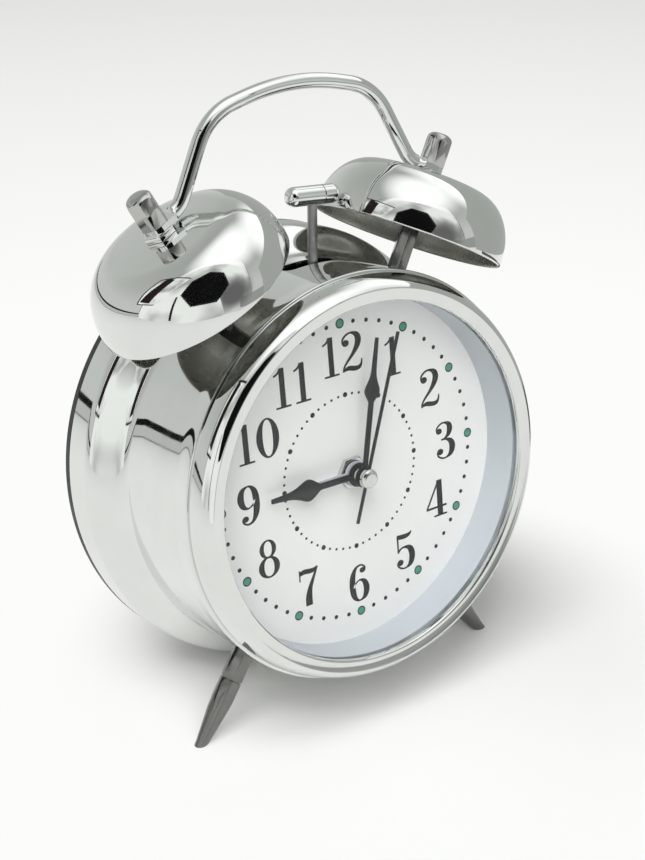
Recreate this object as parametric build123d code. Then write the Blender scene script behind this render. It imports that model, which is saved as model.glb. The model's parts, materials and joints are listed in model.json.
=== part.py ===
from build123d import *
import os
from math import acos, atan2, cos, pi, radians, sin, sqrt, tan

# Twin bell alarm clock with a quartz movement and a motor driven hammer, in millimetres.
# Every piece is drawn in the clock's own axes: X to the right, Y to the back, Z up, with
# the dial face in Y = 0 and the hands turning about the Y axis. The finished clock is then
# leaned back to its stance and set on the floor, with the origin under the middle of its box.

# Stance
TILT = 8.0
FLOOR_GRIP = 400.0

# Fits: a turning shaft, a loose seat, a gap between pieces that pass each other
RUN_FIT = 0.05
SEAT_FIT = 0.1
PASS_GAP = 0.35

# Case drum: radii about the hand axis, lengths along it
CASE_WALL = 0.8
BARREL_R = 53.2
BAND_STEP = 6.6
MOUTH_Y = -7.0
BARREL_DEPTH = 31.0
SHOULDER_DEPTH = 6.6
BAND_DEPTH = 9.6
SHOULDER_HOLLOW = 3.0
SHOULDER_ROUND = 2.4
SLOT_LENGTH = 15.0
SLOT_WIDTH = 5.4

# Front ring, window, white wall and dial
BEZEL_FACE = 2.8
BEZEL_REACH = 6.5
BEZEL_SEAT = 0.5
BEZEL_BULGE = (0.27, 0.62)
BROW_WIDTH = 0.8
BROW_DROP = 0.2
FACE_DROP = 0.1
FACE_DISH = 0.4
BEZEL_SPIGOT = 3.0
SPIGOT_WALL = 1.5
BEZEL_LIP = 1.0
CRIMP = 0.7
LENS_THICK = 1.6
LENS_OVERLAP = 4.2
WALL_THICK = 1.2
FLANGE_THICK = 1.2
DIAL_THICK = 1.0
DIAL_EASE = 0.4

# Rear cover and what it carries
COVER_RIM = 2.4
COVER_ROUND = 0.8
COVER_CORNER = 1.0
COVER_FLOOR = 2.0
COVER_RECESS = 4.6
COVER_WALL = 2.6
PILLAR_R = 3.4
PILLAR_INSET = 4.0
PILLAR_Z = (10.0, -8.0)
SCREW_R = 1.25
SCREW_HEAD_R = 2.3
SCREW_HEAD = 1.6
SCREW_BITE = 1.0
SCREW_SLOT = 0.7
SMALL_HEAD_R = 1.84

# Bells, their posts, nuts and the carrying handle
BELL_ANGLE = 28.4
BELL_OFFSET = 3.3
BELL_Y = 12.5
BELL_R = 25.6
BELL_WALL = 0.9
BELL_GAP = 2.7
BELL_BAND = 1.6
BELL_DOME = 15.2
BELL_CROWN_R = 14.0
STUD_R = 1.5
POST_FLATS = 4.6
COLLAR_FLATS = 7.5
COLLAR_HEIGHT = 1.4
STRAP_THICK = 1.6
STRAP_WIDTH = 6.6
CAP_FLATS = 6.2
CAP_HEIGHT = 8.6
CAP_ROUND = 2.2
ROD_R = 1.9
HANDLE_RISE = 29.5
HANDLE_CROWN_SLOPE = 13.0
HANDLE_LEG_LEAN = 27.0
HANDLE_HEEL = 7.8
HEEL_BEND = 7.0
SHOULDER_BEND = 16.0
CROWN_BEND = 61.0
PRESSED_LENGTH = 1.1
PRESSED_ROUND = 0.72
ROD_EASE = 0.05

# Feet and the nuts inside the drum
FOOT_ANGLE = 36.4
FOOT_Y = 9.0
FOOT_FLATS = 5.4
FOOT_SHANK = 13.5
FOOT_TIP_R = 1.6
FOOT_RING = 8.5
RING_WIDTH = 0.35
RING_DEPTH = 0.3
NUT_FLATS = 5.5
NUT_HEIGHT = 2.4
STUD_TAIL = 0.8

# Hammer and its drive
PIVOT_RISE = 14.0
HAMMER_OVER_RIM = 7.4
HAMMER_SWING = 5.0
HEAD_R = 2.5
HEAD_ROUND = 2.0
STEM_WIDTH = 2.6
STEM_THICK = 0.8
EYE_R = 2.9
PIN_R = 1.0
PIN_HEAD_R = 1.9
PIN_HEAD = 0.8
TAIL = 10.0
CRANK_PIN_R = 0.7
CRANK_R = 3.2
CRANK_THICK = 1.1
FRAME_BORDER = 1.2
MOTOR_R = 7.5
MOTOR_LENGTH = 16.0
MOTOR_SHAFT_R = 1.0
MOTOR_BOSS_R = 3.0
MOTOR_BOSS = 1.2
MOTOR_ROUND = 1.2
MOTOR_FLAT = 6.15
BRACKET_THICK = 1.4
BRACKET_WIDTH = 19.0
BRACKET_FOOT = 8.6
BRACKET_HEAD = 6.0
BRACKET_SCREW_X = 6.0
BRACKET_SCREW_DROP = 5.8
BRACKET_ROUND = 3.0

# Movement housing
MOVEMENT_WIDTH = 52.0
MOVEMENT_TOP = 16.0
MOVEMENT_BOTTOM = -32.0
MOVEMENT_DEPTH = 14.0
HOUSING_WALL = 1.4
HOUSING_ROUND = 2.5
BUSH_R = 3.1
BUSH_PROUD = 1.7
CENTRE_NUT_FLATS = 7.8
CENTRE_NUT_HEIGHT = 1.4

# Hand shafts, one inside the other
SECOND_R = 0.45
CANNON_R = 0.95
HOUR_TUBE_R = 1.55
ALARM_TUBE_R = 2.15

# Hands: height over the dial, reach as a share of the window's radius, clock angle and widths,
# and a spade's place as a share of its hand's length
HAND_THICK = 0.4
ALARM_HAND = dict(height=1.8, reach=0.3656, hub=3.3, stem=1.6, tip=1.0, angle=272.0)
HOUR_HAND = dict(height=3.2, reach=0.5806, hub=3.2, spade=0.563, wide=5.6, stem=1.7, tip=1.2, angle=271.0)
MINUTE_HAND = dict(height=5.5, reach=0.7742, hub=2.8, spade=0.611, wide=4.6, stem=1.6, tip=1.0, angle=11.2)
SECOND_HAND = dict(height=6.8, reach=0.8172, hub=2.0, tail=0.2581, stem=0.9, angle=19.6)
SPADE_RISE = 1.1
SPADE_DRAW = 2.6
NECK_SHARE = 1.5
SPADE_LEAN = 0.7
CAP_R = 2.65
CAP_DOME = 1.5
CAP_EDGE = 1.275

# Gears: 12 to 1 motion work, 60 to 1 running train, 1 to 1 alarm setting
PRESSURE_ANGLE = 20.0
TOOTH_SHARE = 0.42
ADDENDUM = 0.8
DEDENDUM = 1.25
GEAR_THICK = 1.0
GEAR_GAP = 0.6
PINION_EXTRA = 0.2
THIRD_THICK = 0.8
MOTION_DISTANCE = 8.4
CANNON_TEETH = 12
MOTION_TEETH = 36
MOTION_PINION_TEETH = 10
HOUR_TEETH = 40
TRAIN_DISTANCE = 7.2
SECOND_PINION_TEETH = 8
THIRD_TEETH = 60
THIRD_PINION_TEETH = 8
CENTRE_TEETH = 64
SECOND_WHEEL_TEETH = 60
SECOND_WHEEL_R = 5.9
SECOND_HUB_R = 0.72
ALARM_DISTANCE = 10.8
ALARM_TEETH = 24
ARBOR_R = 0.8
ALARM_ARBOR_R = 1.0
POST_R = 0.5

# Setting knobs and alarm switch
KNOB_R = 5.0
KNOB_HEIGHT = 7.0
KNOB_STEM_R = 2.0
KNOB_SOCKET = 4.0
KNOB_FLUTES = 14
FLUTE_R = 0.7
KNOB_CHAMFER = 0.8
ARBOR_PROUD = 6.0
SWITCH_STEP = 7.0
SWITCH_Z = 9.0
SWITCH_TRAVEL = 5.0
SWITCH_WIDTH = 5.0
SWITCH_LENGTH = 7.0
SWITCH_PROUD = 2.2
SWITCH_PLATE = 1.2
SWITCH_BORDER = 1.6
SWITCH_BODY = 5.0

# Battery: one AA cell, its well, contacts and door
CELL_R = 7.1
CELL_LENGTH = 49.2
CELL_NUB_R = 2.75
CELL_NUB = 1.0
CELL_ROUND = 0.57
CELL_ROOM = 1.8
SPRING_REACH = 2.8
WELL_WALL = 1.2
WELL_Z = -22.5
CONTACT_THICK = 0.5
CONTACT_WIDTH = 9.0
CONTACT_EDGE = 0.5
DOOR_THICK = 1.2
DOOR_LAP = 2.0
DOOR_GAP = 0.35
DOOR_GRIP = 8.0

# Drive of the running train
BOARD_THICK = 1.0
BOARD_WIDTH = 40.0
BOARD_HEIGHT = 17.0
BOARD_LIFT = 1.0
CHIP_SIDE = 5.0
CHIP_EDGE = 3.0
CHIP_LIFT = 2.0
CHIP_THICK = 1.2
CRYSTAL_R = 1.0
CRYSTAL_LENGTH = 6.0
CRYSTAL_LIFT = 11.0
CRYSTAL_SINK = 0.2
COIL_LENGTH = 20.0
COIL_R = 2.9
FLANGE_SIDE = 7.0
FLANGE_WIDTH = 1.0
CORE_WIDTH = 3.0
CORE_THICK = 1.0
STATOR_SPAN = 32.0
STATOR_LEG = 11.0
COIL_Z = -21.0

# Places that follow from the sizes above
BAND_R = BARREL_R + BAND_STEP
SHOULDER_Y = MOUTH_Y + BARREL_DEPTH
BAND_Y = SHOULDER_Y + SHOULDER_DEPTH
CASE_REAR_Y = BAND_Y + BAND_DEPTH
REAR_Y = CASE_REAR_Y + COVER_RIM
COVER_FLOOR_Y = REAR_Y - COVER_RECESS
BEZEL_FRONT_Y = MOUTH_Y - BEZEL_REACH
LENS_FRONT_Y = BEZEL_FRONT_Y + BEZEL_LIP + CRIMP
LENS_BACK_Y = LENS_FRONT_Y + LENS_THICK
FLANGE_BACK_Y = LENS_BACK_Y + FLANGE_THICK
LENS_R = BARREL_R - CASE_WALL - 2 * SEAT_FIT - SPIGOT_WALL
BEZEL_OPENING_R = LENS_R - LENS_OVERLAP
DIAL_R = LENS_R - DIAL_EASE
MOVEMENT_Y = DIAL_THICK
MOVEMENT_REAR_Y = MOVEMENT_Y + MOVEMENT_DEPTH
PLATE_Y = MOVEMENT_Y + HOUSING_WALL
FLOOR_Y = MOVEMENT_REAR_Y - HOUSING_WALL
MOVEMENT_MID_Z = (MOVEMENT_TOP + MOVEMENT_BOTTOM) / 2
MOVEMENT_HEIGHT = MOVEMENT_TOP - MOVEMENT_BOTTOM
STACK_Y = [PLATE_Y + GEAR_GAP + k * (GEAR_THICK + GEAR_GAP) for k in range(6)]
ALARM_WHEEL_Y, HOUR_WHEEL_Y, CANNON_Y, CENTRE_WHEEL_Y, THIRD_WHEEL_Y, SECOND_WHEEL_Y = STACK_Y
BELL_RIM = BAND_R + BELL_GAP
BELL_CROWN = BELL_RIM + BELL_BAND + BELL_DOME
STRAP_BASE = BELL_CROWN + COLLAR_HEIGHT
CAP_BASE = STRAP_BASE + STRAP_THICK
PIVOT_Z = MOVEMENT_TOP + PIVOT_RISE
HAMMER_REACH = BELL_RIM + HAMMER_OVER_RIM - PIVOT_Z
CRANK_Z = PIVOT_Z - TAIL
CRANK_THROW = TAIL * sin(radians(HAMMER_SWING))
BRACKET_Y = MOVEMENT_REAR_Y + BRACKET_THICK
STEM_FRONT_Y = BELL_Y - STEM_THICK / 2
STEM_BACK_Y = BELL_Y + STEM_THICK / 2
CRANK_Y = STEM_BACK_Y + PASS_GAP
RIM_CENTRE_Y = REAR_Y - COVER_ROUND
RIM_CENTRE_R = BAND_R - COVER_ROUND
FLOOR_DROP = RIM_CENTRE_Y * sin(radians(TILT)) + RIM_CENTRE_R * cos(radians(TILT)) + COVER_ROUND
FOOT_END = (FLOOR_DROP - FOOT_Y * sin(radians(TILT))) / (cos(radians(FOOT_ANGLE)) * cos(radians(TILT)))
TIME_X = -MOTION_DISTANCE
ALARM_X = ALARM_DISTANCE
PILLAR_X = MOVEMENT_WIDTH / 2 - PILLAR_INSET
SWITCH_X = MOVEMENT_WIDTH / 2 + SWITCH_STEP
WELL_LENGTH = CELL_LENGTH + CELL_NUB + 2 * CONTACT_THICK + SPRING_REACH
WELL_HEIGHT = 2 * CELL_R + CELL_ROOM
WELL_FRONT_Y = COVER_FLOOR_Y - 2 * CELL_R - CELL_ROOM
QUARTER_MID = 1 - sqrt(0.5)


def about_y(profile):
    """Turn a closed outline of (radius, depth) once about the hand axis."""
    return revolve(make_face(profile), axis=Axis.Y)


def facing_back(solid, x=0.0, y=0.0, z=0.0):
    """Stand a piece drawn up the Z axis along +Y, with its base at the given point."""
    return Pos(x, y, z) * Rot(-90, 0, 0) * solid


def rod(radius, y0, y1, x=0.0, z=0.0):
    """A round bar along Y between two depths."""
    bar = Cylinder(radius, y1 - y0, align=(Align.CENTER, Align.CENTER, Align.MIN))
    return facing_back(bar, x, y0, z)


def block(x0, x1, y0, y1, z0, z1):
    """A box between two opposite corners."""
    size = Box(x1 - x0, y1 - y0, z1 - z0)
    return Pos((x0 + x1) / 2, (y0 + y1) / 2, (z0 + z1) / 2) * size


def bell_places(depth):
    """The left and the right bell's axis, up Z, standing off the middle by the bells' offset."""
    return {
        "left": Pos(0, depth, 0) * Rot(0, -BELL_ANGLE, 0) * Pos(-BELL_OFFSET, 0, 0),
        "right": Pos(0, depth, 0) * Rot(0, BELL_ANGLE, 0) * Pos(BELL_OFFSET, 0, 0),
    }


def foot_places():
    """The left and the right foot's axis, up Z, leaving the hand axis downwards."""
    return {
        "left": Pos(0, FOOT_Y, 0) * Rot(0, 180 + FOOT_ANGLE, 0),
        "right": Pos(0, FOOT_Y, 0) * Rot(0, 180 - FOOT_ANGLE, 0),
    }


def hex_bar(flats, z0, z1):
    """A hexagonal bar up the Z axis."""
    outline = RegularPolygon(radius=flats / 2, side_count=6, major_radius=False)
    return Pos(0, 0, z0) * extrude(outline, z1 - z0)


def bored(solid, radius, z0, z1):
    """The piece with a round hole up the Z axis."""
    return solid - Pos(0, 0, z0) * Cylinder(radius, z1 - z0, align=(Align.CENTER, Align.CENTER, Align.MIN))


def floor_space():
    """The space under the floor, in the clock's own axes."""
    slab = Pos(0, 0, -FLOOR_DROP - FLOOR_GRIP / 2) * Box(FLOOR_GRIP, FLOOR_GRIP, FLOOR_GRIP)
    return Rot(TILT, 0, 0) * slab


# Case

def case_shell():
    """Drawn drum with its wider rear band, the hammer slot and the four stud holes."""
    slope = atan2(BAND_R - BARREL_R, SHOULDER_DEPTH)
    shift = CASE_WALL * tan(slope / 2)
    outer = [(BARREL_R, MOUTH_Y), (BARREL_R, SHOULDER_Y), (BAND_R, BAND_Y), (BAND_R, CASE_REAR_Y)]
    inner = [(r - CASE_WALL, y) for r, y in reversed(outer)]
    inner[1] = (inner[1][0], inner[1][1] + shift)
    inner[2] = (inner[2][0], inner[2][1] + shift)
    outer_bends = [0, SHOULDER_HOLLOW, SHOULDER_ROUND, 0]
    inner_bends = [0, SHOULDER_ROUND - CASE_WALL, SHOULDER_HOLLOW + CASE_WALL, 0]
    drum = about_y(FilletPolyline(*outer, *inner, radius=outer_bends + inner_bends, close=True))
    slot = extrude(SlotOverall(SLOT_LENGTH, SLOT_WIDTH), CASE_WALL * 6, both=True)
    drum -= Pos(0, BELL_Y, BARREL_R) * slot
    stud_hole = Cylinder(STUD_R + SEAT_FIT, BARREL_R * 1.2, align=(Align.CENTER, Align.CENTER, Align.MIN))
    for place in [*bell_places(BELL_Y).values(), *foot_places().values()]:
        drum -= place * stud_hole
    return drum


def bezel_ring():
    """Plated front ring: a rounded flank, a narrow dished face and a spigot in the drum's mouth."""
    bore_r = LENS_R + SEAT_FIT
    spigot_r = BARREL_R - CASE_WALL - SEAT_FIT
    flank_r = spigot_r + SEAT_FIT + BEZEL_SEAT
    edge_r = BEZEL_OPENING_R + BEZEL_FACE
    flank = ThreePointArc(
        (flank_r, MOUTH_Y),
        (flank_r - BEZEL_BULGE[0] * (flank_r - edge_r), MOUTH_Y - BEZEL_BULGE[1] * BEZEL_REACH),
        (edge_r + BROW_WIDTH, BEZEL_FRONT_Y + BROW_DROP),
    )
    brow = ThreePointArc(
        flank @ 1, (edge_r + BROW_WIDTH / 2, BEZEL_FRONT_Y), (edge_r, BEZEL_FRONT_Y + FACE_DROP)
    )
    lip_y = BEZEL_FRONT_Y + FACE_DISH
    lip = ThreePointArc(
        (BEZEL_OPENING_R + CRIMP, lip_y),
        (BEZEL_OPENING_R + QUARTER_MID * CRIMP, lip_y + QUARTER_MID * CRIMP),
        (BEZEL_OPENING_R, lip_y + CRIMP),
    )
    back = Polyline(
        lip @ 1,
        (BEZEL_OPENING_R, LENS_FRONT_Y),
        (bore_r, LENS_FRONT_Y),
        (bore_r, FLANGE_BACK_Y),
        (bore_r - CRIMP, FLANGE_BACK_Y),
        (bore_r - CRIMP, FLANGE_BACK_Y + CRIMP),
        (bore_r, FLANGE_BACK_Y + CRIMP),
        (bore_r, MOUTH_Y + BEZEL_SPIGOT),
        (spigot_r, MOUTH_Y + BEZEL_SPIGOT),
        (spigot_r, MOUTH_Y),
        (flank_r, MOUTH_Y),
    )
    return about_y([flank, brow, Line(brow @ 1, lip @ 0), lip, back])


def lens():
    """Clear flat window behind the lip of the front ring."""
    return rod(LENS_R, LENS_FRONT_Y, LENS_BACK_Y)


def reflector_ring():
    """White wall between window and dial, with a flange at each end."""
    inner_r = BEZEL_OPENING_R
    wall_r = inner_r + WALL_THICK
    outline = Polyline(
        (inner_r, LENS_BACK_Y),
        (LENS_R, LENS_BACK_Y),
        (LENS_R, FLANGE_BACK_Y),
        (wall_r, FLANGE_BACK_Y),
        (wall_r, -FLANGE_THICK),
        (DIAL_R, -FLANGE_THICK),
        (DIAL_R, 0),
        (inner_r, 0),
        close=True,
    )
    return about_y(outline)


def dial():
    """Dial plate with the hole for the threaded bush."""
    return rod(DIAL_R, 0, DIAL_THICK) - rod(BUSH_R + SEAT_FIT, -DIAL_THICK, 2 * DIAL_THICK)


def rear_cover():
    """Black moulded cover: rim, sunk floor, battery well, screw pillars and the openings in it."""
    spigot_r = BAND_R - CASE_WALL - SEAT_FIT
    recess_r = spigot_r - COVER_WALL
    inner_y = COVER_FLOOR_Y - COVER_FLOOR
    outline = FilletPolyline(
        (0, inner_y),
        (spigot_r, inner_y),
        (spigot_r, CASE_REAR_Y),
        (BAND_R, CASE_REAR_Y),
        (BAND_R, REAR_Y),
        (recess_r, REAR_Y),
        (recess_r - COVER_RECESS / 3, COVER_FLOOR_Y),
        (0, COVER_FLOOR_Y),
        radius=[0, COVER_CORNER, 0, 0, COVER_ROUND, COVER_ROUND, COVER_CORNER, 0],
        close=True,
    )
    cover = about_y(outline)
    cover += well_box(WELL_WALL, inner_y)
    for x, z in pillar_places():
        cover += rod(PILLAR_R, MOVEMENT_REAR_Y, inner_y + COVER_FLOOR / 2, x, z)
    cover -= well_box(0, COVER_FLOOR_Y + COVER_FLOOR)
    cover -= door_plate(DOOR_GAP, COVER_FLOOR)
    for x, z in pillar_places():
        cover -= rod(SCREW_R + SEAT_FIT, MOVEMENT_REAR_Y - 1, REAR_Y, x, z)
        cover -= rod(SCREW_HEAD_R + SEAT_FIT, COVER_FLOOR_Y - SCREW_HEAD, REAR_Y, x, z)
    for x in (TIME_X, ALARM_X):
        cover -= rod(KNOB_STEM_R + PASS_GAP, inner_y - 1, REAR_Y, x)
    slot_w = SWITCH_WIDTH + 2 * PASS_GAP
    slot_l = SWITCH_LENGTH + SWITCH_TRAVEL + 2 * PASS_GAP
    slot_mid = SWITCH_Z + SWITCH_TRAVEL / 2
    cover -= Pos(SWITCH_X, COVER_FLOOR_Y, slot_mid) * Box(slot_w, 4 * COVER_FLOOR, slot_l)
    return cover


def pillar_places():
    """The four screw pillars, seen from the front."""
    return [(sx * PILLAR_X, z) for z in PILLAR_Z for sx in (-1, 1)]


def cover_screws():
    """Four screws through the cover's pillars into the movement housing."""
    screws = []
    for x, z in pillar_places():
        head = rod(SCREW_HEAD_R, COVER_FLOOR_Y - SCREW_HEAD, COVER_FLOOR_Y, x, z)
        slot = Pos(x, COVER_FLOOR_Y, z) * Box(2 * SCREW_HEAD_R, SCREW_HEAD, SCREW_SLOT)
        shank = rod(SCREW_R, MOVEMENT_REAR_Y - SCREW_BITE, COVER_FLOOR_Y - SCREW_HEAD, x, z)
        screws.append(head - slot + shank)
    return Compound(screws)


# Battery

def well_box(wall, rear_y):
    """The battery well's block, grown by a wall on every side but the open rear."""
    half = WELL_LENGTH / 2 + wall
    tall = WELL_HEIGHT / 2 + wall
    return block(-half, half, WELL_FRONT_Y - wall, rear_y, WELL_Z - tall, WELL_Z + tall)


def door_plate(gap, rear_extra):
    """The door's plate, or with a gap the rebate that it lies in."""
    half = WELL_LENGTH / 2 + DOOR_LAP + gap
    tall = WELL_HEIGHT / 2 + DOOR_LAP + gap
    front_y = COVER_FLOOR_Y - DOOR_THICK
    return block(-half, half, front_y, COVER_FLOOR_Y + rear_extra, WELL_Z - tall, WELL_Z + tall)


def battery_door():
    """Hinged battery door with a thumb hollow at its upper edge."""
    upper_z = WELL_Z + WELL_HEIGHT / 2 + DOOR_LAP
    hollow = Pos(0, COVER_FLOOR_Y + DOOR_GRIP - DOOR_THICK / 2, upper_z) * Sphere(DOOR_GRIP)
    return door_plate(0, 0) - hollow


def cell_mid_y():
    """Depth of the battery's own axis."""
    return WELL_FRONT_Y + CELL_R + SEAT_FIT


def battery_cell():
    """One AA cell lying across the well, its nub against the plain contact."""
    end_x = WELL_LENGTH / 2 - CONTACT_THICK
    bar = Cylinder(CELL_R, CELL_LENGTH, align=(Align.CENTER, Align.CENTER, Align.MAX))
    can = Pos(0, 0, -CELL_NUB) * fillet(bar.edges(), CELL_ROUND)
    nub = Cylinder(CELL_NUB_R, CELL_NUB * 2, align=(Align.CENTER, Align.CENTER, Align.MAX))
    return Pos(end_x, cell_mid_y(), WELL_Z) * Rot(0, 90, 0) * (can + nub)


def battery_contacts():
    """Plain contact plate at one end of the well, plate with a cone at the other."""
    half = WELL_LENGTH / 2
    y0 = WELL_FRONT_Y
    y1 = cell_mid_y() + CONTACT_WIDTH / 2
    z0 = WELL_Z - CONTACT_WIDTH / 2
    z1 = WELL_Z + CONTACT_WIDTH / 2
    plain = block(half - CONTACT_THICK, half, y0, y1, z0, z1)
    sprung = block(-half, -half + CONTACT_THICK, y0, y1, z0, z1)
    base_r = CONTACT_WIDTH / 2 - CONTACT_EDGE
    cone = Cone(base_r, CELL_NUB_R, SPRING_REACH, align=(Align.CENTER, Align.CENTER, Align.MIN))
    sprung += Pos(-half + CONTACT_THICK, cell_mid_y(), WELL_Z) * Rot(0, 90, 0) * cone
    return Compound([plain, sprung])


# Bells, posts and handle

def bell():
    """One domed bell up the Z axis, open at its rim and drilled at its crown."""
    band_top = BELL_RIM + BELL_BAND
    wall = BELL_WALL
    hole_r = STUD_R + SEAT_FIT
    outer = EllipticalCenterArc((BELL_CROWN_R, band_top), BELL_R - BELL_CROWN_R, BELL_DOME, arc_size=90)
    inner = EllipticalCenterArc(
        (BELL_CROWN_R, band_top), BELL_R - BELL_CROWN_R - wall, BELL_DOME - wall, arc_size=90
    )
    edges = [
        Line((BELL_R, BELL_RIM), (BELL_R, band_top)),
        outer,
        Polyline(outer @ 1, (hole_r, BELL_CROWN), (hole_r, BELL_CROWN - wall), inner @ 1),
        inner,
        Polyline(inner @ 0, (BELL_R - wall, BELL_RIM), (BELL_R, BELL_RIM)),
    ]
    return revolve(Plane.XZ * make_face(edges), axis=Axis.Z)


def bell_post():
    """Hexagonal post between drum and bell, with a stud at both ends."""
    drum = Pos(-BELL_OFFSET, 0, 0) * Rot(90, 0, 0) * Cylinder(BARREL_R, BELL_R)
    body = hex_bar(POST_FLATS, BARREL_R - POST_FLATS, BELL_CROWN - BELL_WALL) - drum
    low = BARREL_R - CASE_WALL - NUT_HEIGHT - STUD_TAIL
    high = CAP_BASE + CAP_HEIGHT / 2
    stud = Cylinder(STUD_R, high - low, align=(Align.CENTER, Align.CENTER, Align.MIN))
    return body + Pos(0, 0, low) * stud


def inner_nut(offset):
    """Nut on a stud inside the drum, its corners just under the drum's wall."""
    top = sqrt((BARREL_R - CASE_WALL) ** 2 - (offset + NUT_FLATS / sqrt(3)) ** 2)
    nut = hex_bar(NUT_FLATS, top - NUT_HEIGHT, top)
    return bored(nut, STUD_R, 0, BARREL_R)


def collar_nut():
    """Low nut that holds a bell down on its post."""
    nut = hex_bar(COLLAR_FLATS, BELL_CROWN, STRAP_BASE)
    return bored(nut, STUD_R, BELL_CROWN - 1, STRAP_BASE + 1)


def cap_nut():
    """Tall domed nut that holds the handle down."""
    top = CAP_BASE + CAP_HEIGHT
    corner_r = CAP_FLATS / sqrt(3)
    dome = Cylinder(corner_r, CAP_HEIGHT, align=(Align.CENTER, Align.CENTER, Align.MIN))
    dome = fillet(dome.edges().sort_by(Axis.Z)[-1], CAP_ROUND)
    nut = hex_bar(CAP_FLATS, CAP_BASE, top) & Pos(0, 0, CAP_BASE) * dome
    return bored(nut, STUD_R, CAP_BASE - 1, CAP_BASE + CAP_HEIGHT / 2)


def paired(piece, places):
    """The same piece at the left and at the right, as one group of two solids."""
    return Compound([place * piece for place in places.values()])


def handle():
    """Bent rod over both bells, with its two ends pressed flat and drilled."""
    lean = radians(BELL_ANGLE)
    mid = STRAP_BASE + STRAP_THICK / 2
    inward = Vector(-cos(lean), sin(lean))
    eye = Vector(mid * sin(lean), mid * cos(lean)) - inward * BELL_OFFSET
    leg = Vector(-sin(radians(HANDLE_LEG_LEAN)), cos(radians(HANDLE_LEG_LEAN)))
    heel = eye + inward * HANDLE_HEEL
    top = Vector(0, eye.Y + HANDLE_RISE)
    slope = tan(radians(HANDLE_CROWN_SLOPE))
    climb = (top.Y - heel.Y - slope * heel.X) / (leg.Y + slope * leg.X)
    knee = heel + leg * climb
    turn = radians(90 - HANDLE_LEG_LEAN - BELL_ANGLE)
    rod_end = HANDLE_HEEL - HEEL_BEND * tan(turn / 2) - ROD_EASE
    end = eye + inward * rod_end
    right = [end, heel, knee]
    left = [Vector(-p.X, p.Y) for p in reversed(right)]
    path = FilletPolyline(
        *right,
        top,
        *left,
        radius=[HEEL_BEND, SHOULDER_BEND, CROWN_BEND, SHOULDER_BEND, HEEL_BEND],
    )
    start = Plane(path @ 0, z_dir=path % 0)
    bar = sweep(start * Circle(ROD_R), path=path)
    arch = Rot(90, 0, 0) * bar
    for side, place in bell_places(0).items():
        arch += place * strap(rod_end, 1 if side == "left" else -1)
    return Pos(0, BELL_Y, 0) * arch


def strap(rod_end, inward):
    """One pressed end of the handle, up the Z axis, the rod coming from the inner side."""
    flat = Pos(0, 0, STRAP_BASE) * extrude(Circle(STRAP_WIDTH / 2), STRAP_THICK)
    pressed = rod_end - PRESSED_LENGTH
    flat += block(min(0, inward * pressed), max(0, inward * pressed), -STRAP_WIDTH / 2, STRAP_WIDTH / 2,
                  STRAP_BASE, CAP_BASE)
    mid = STRAP_BASE + STRAP_THICK / 2
    round_end = Plane((inward * rod_end, 0, mid), x_dir=(0, 1, 0), z_dir=(inward, 0, 0)) * Circle(ROD_R)
    flat_end = Plane((inward * pressed, 0, mid), x_dir=(0, 1, 0), z_dir=(inward, 0, 0))
    flat_end = flat_end * RectangleRounded(STRAP_WIDTH, STRAP_THICK, PRESSED_ROUND)
    flat += loft([flat_end, round_end])
    return bored(flat, STUD_R + SEAT_FIT, STRAP_BASE - 1, CAP_BASE + 1)


# Feet

def foot(place):
    """Hexagonal foot turned to a taper, with its stud, cut level with the floor."""
    long_end = FOOT_END + FOOT_FLATS
    corner_r = FOOT_FLATS / sqrt(3)
    taper_start = BARREL_R + FOOT_SHANK
    outline = Polyline(
        (0, BARREL_R),
        (corner_r, BARREL_R),
        (corner_r, taper_start),
        (FOOT_TIP_R, FOOT_END),
        (FOOT_TIP_R, long_end),
        (0, long_end),
        close=True,
    )
    turned = revolve(Plane.XZ * make_face(outline), axis=Axis.Z)
    body = hex_bar(FOOT_FLATS, BARREL_R, long_end) & turned
    ring_z = BARREL_R + FOOT_RING
    ring = bored(Pos(0, 0, ring_z) * Cylinder(FOOT_FLATS, RING_WIDTH), FOOT_FLATS / 2 - RING_DEPTH,
                 ring_z - 1, ring_z + 1)
    low = BARREL_R - CASE_WALL - NUT_HEIGHT - STUD_TAIL
    stud = Pos(0, 0, low) * Cylinder(STUD_R, BARREL_R - low, align=(Align.CENTER, Align.CENTER, Align.MIN))
    return place * (body - ring + stud) - floor_space()


# Hammer and its drive

def hammer_frame(solid):
    """Place a piece drawn about the hammer's pivot, leaning to the right bell."""
    return Pos(0, BELL_Y, PIVOT_Z) * Rot(0, HAMMER_SWING, 0) * solid


def head_half_length():
    """Half length of the head that leaves a small gap to each bell at the end of its swing."""
    lean = radians(BELL_ANGLE)
    swing = radians(HAMMER_SWING)
    off_axis = sin(lean) * (PIVOT_Z + HAMMER_REACH * cos(swing)) - cos(lean) * HAMMER_REACH * sin(swing)
    room = off_axis + BELL_OFFSET - BELL_R - PASS_GAP
    face_r = HEAD_R - HEAD_ROUND
    return HEAD_ROUND + (room - HEAD_ROUND - face_r * sin(lean - swing)) / cos(lean - swing)


def hammer_head():
    """Round striker lying across the top of the stem, with a slit for it."""
    bar = Cylinder(HEAD_R, 2 * head_half_length())
    bar = fillet(bar.edges(), HEAD_ROUND)
    ring = bored(Cylinder(HEAD_R * 2, RING_WIDTH), HEAD_R - RING_DEPTH, -1, 1)
    head = Pos(0, 0, HAMMER_REACH) * Rot(0, 90, 0) * (bar - Pos(0, 0, STEM_WIDTH) * ring)
    slit = Pos(0, 0, HAMMER_REACH) * Box(STEM_WIDTH + SEAT_FIT, STEM_THICK + SEAT_FIT, 2 * HEAD_R,
                                         align=(Align.CENTER, Align.CENTER, Align.MAX))
    return hammer_frame(head - slit)


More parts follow.
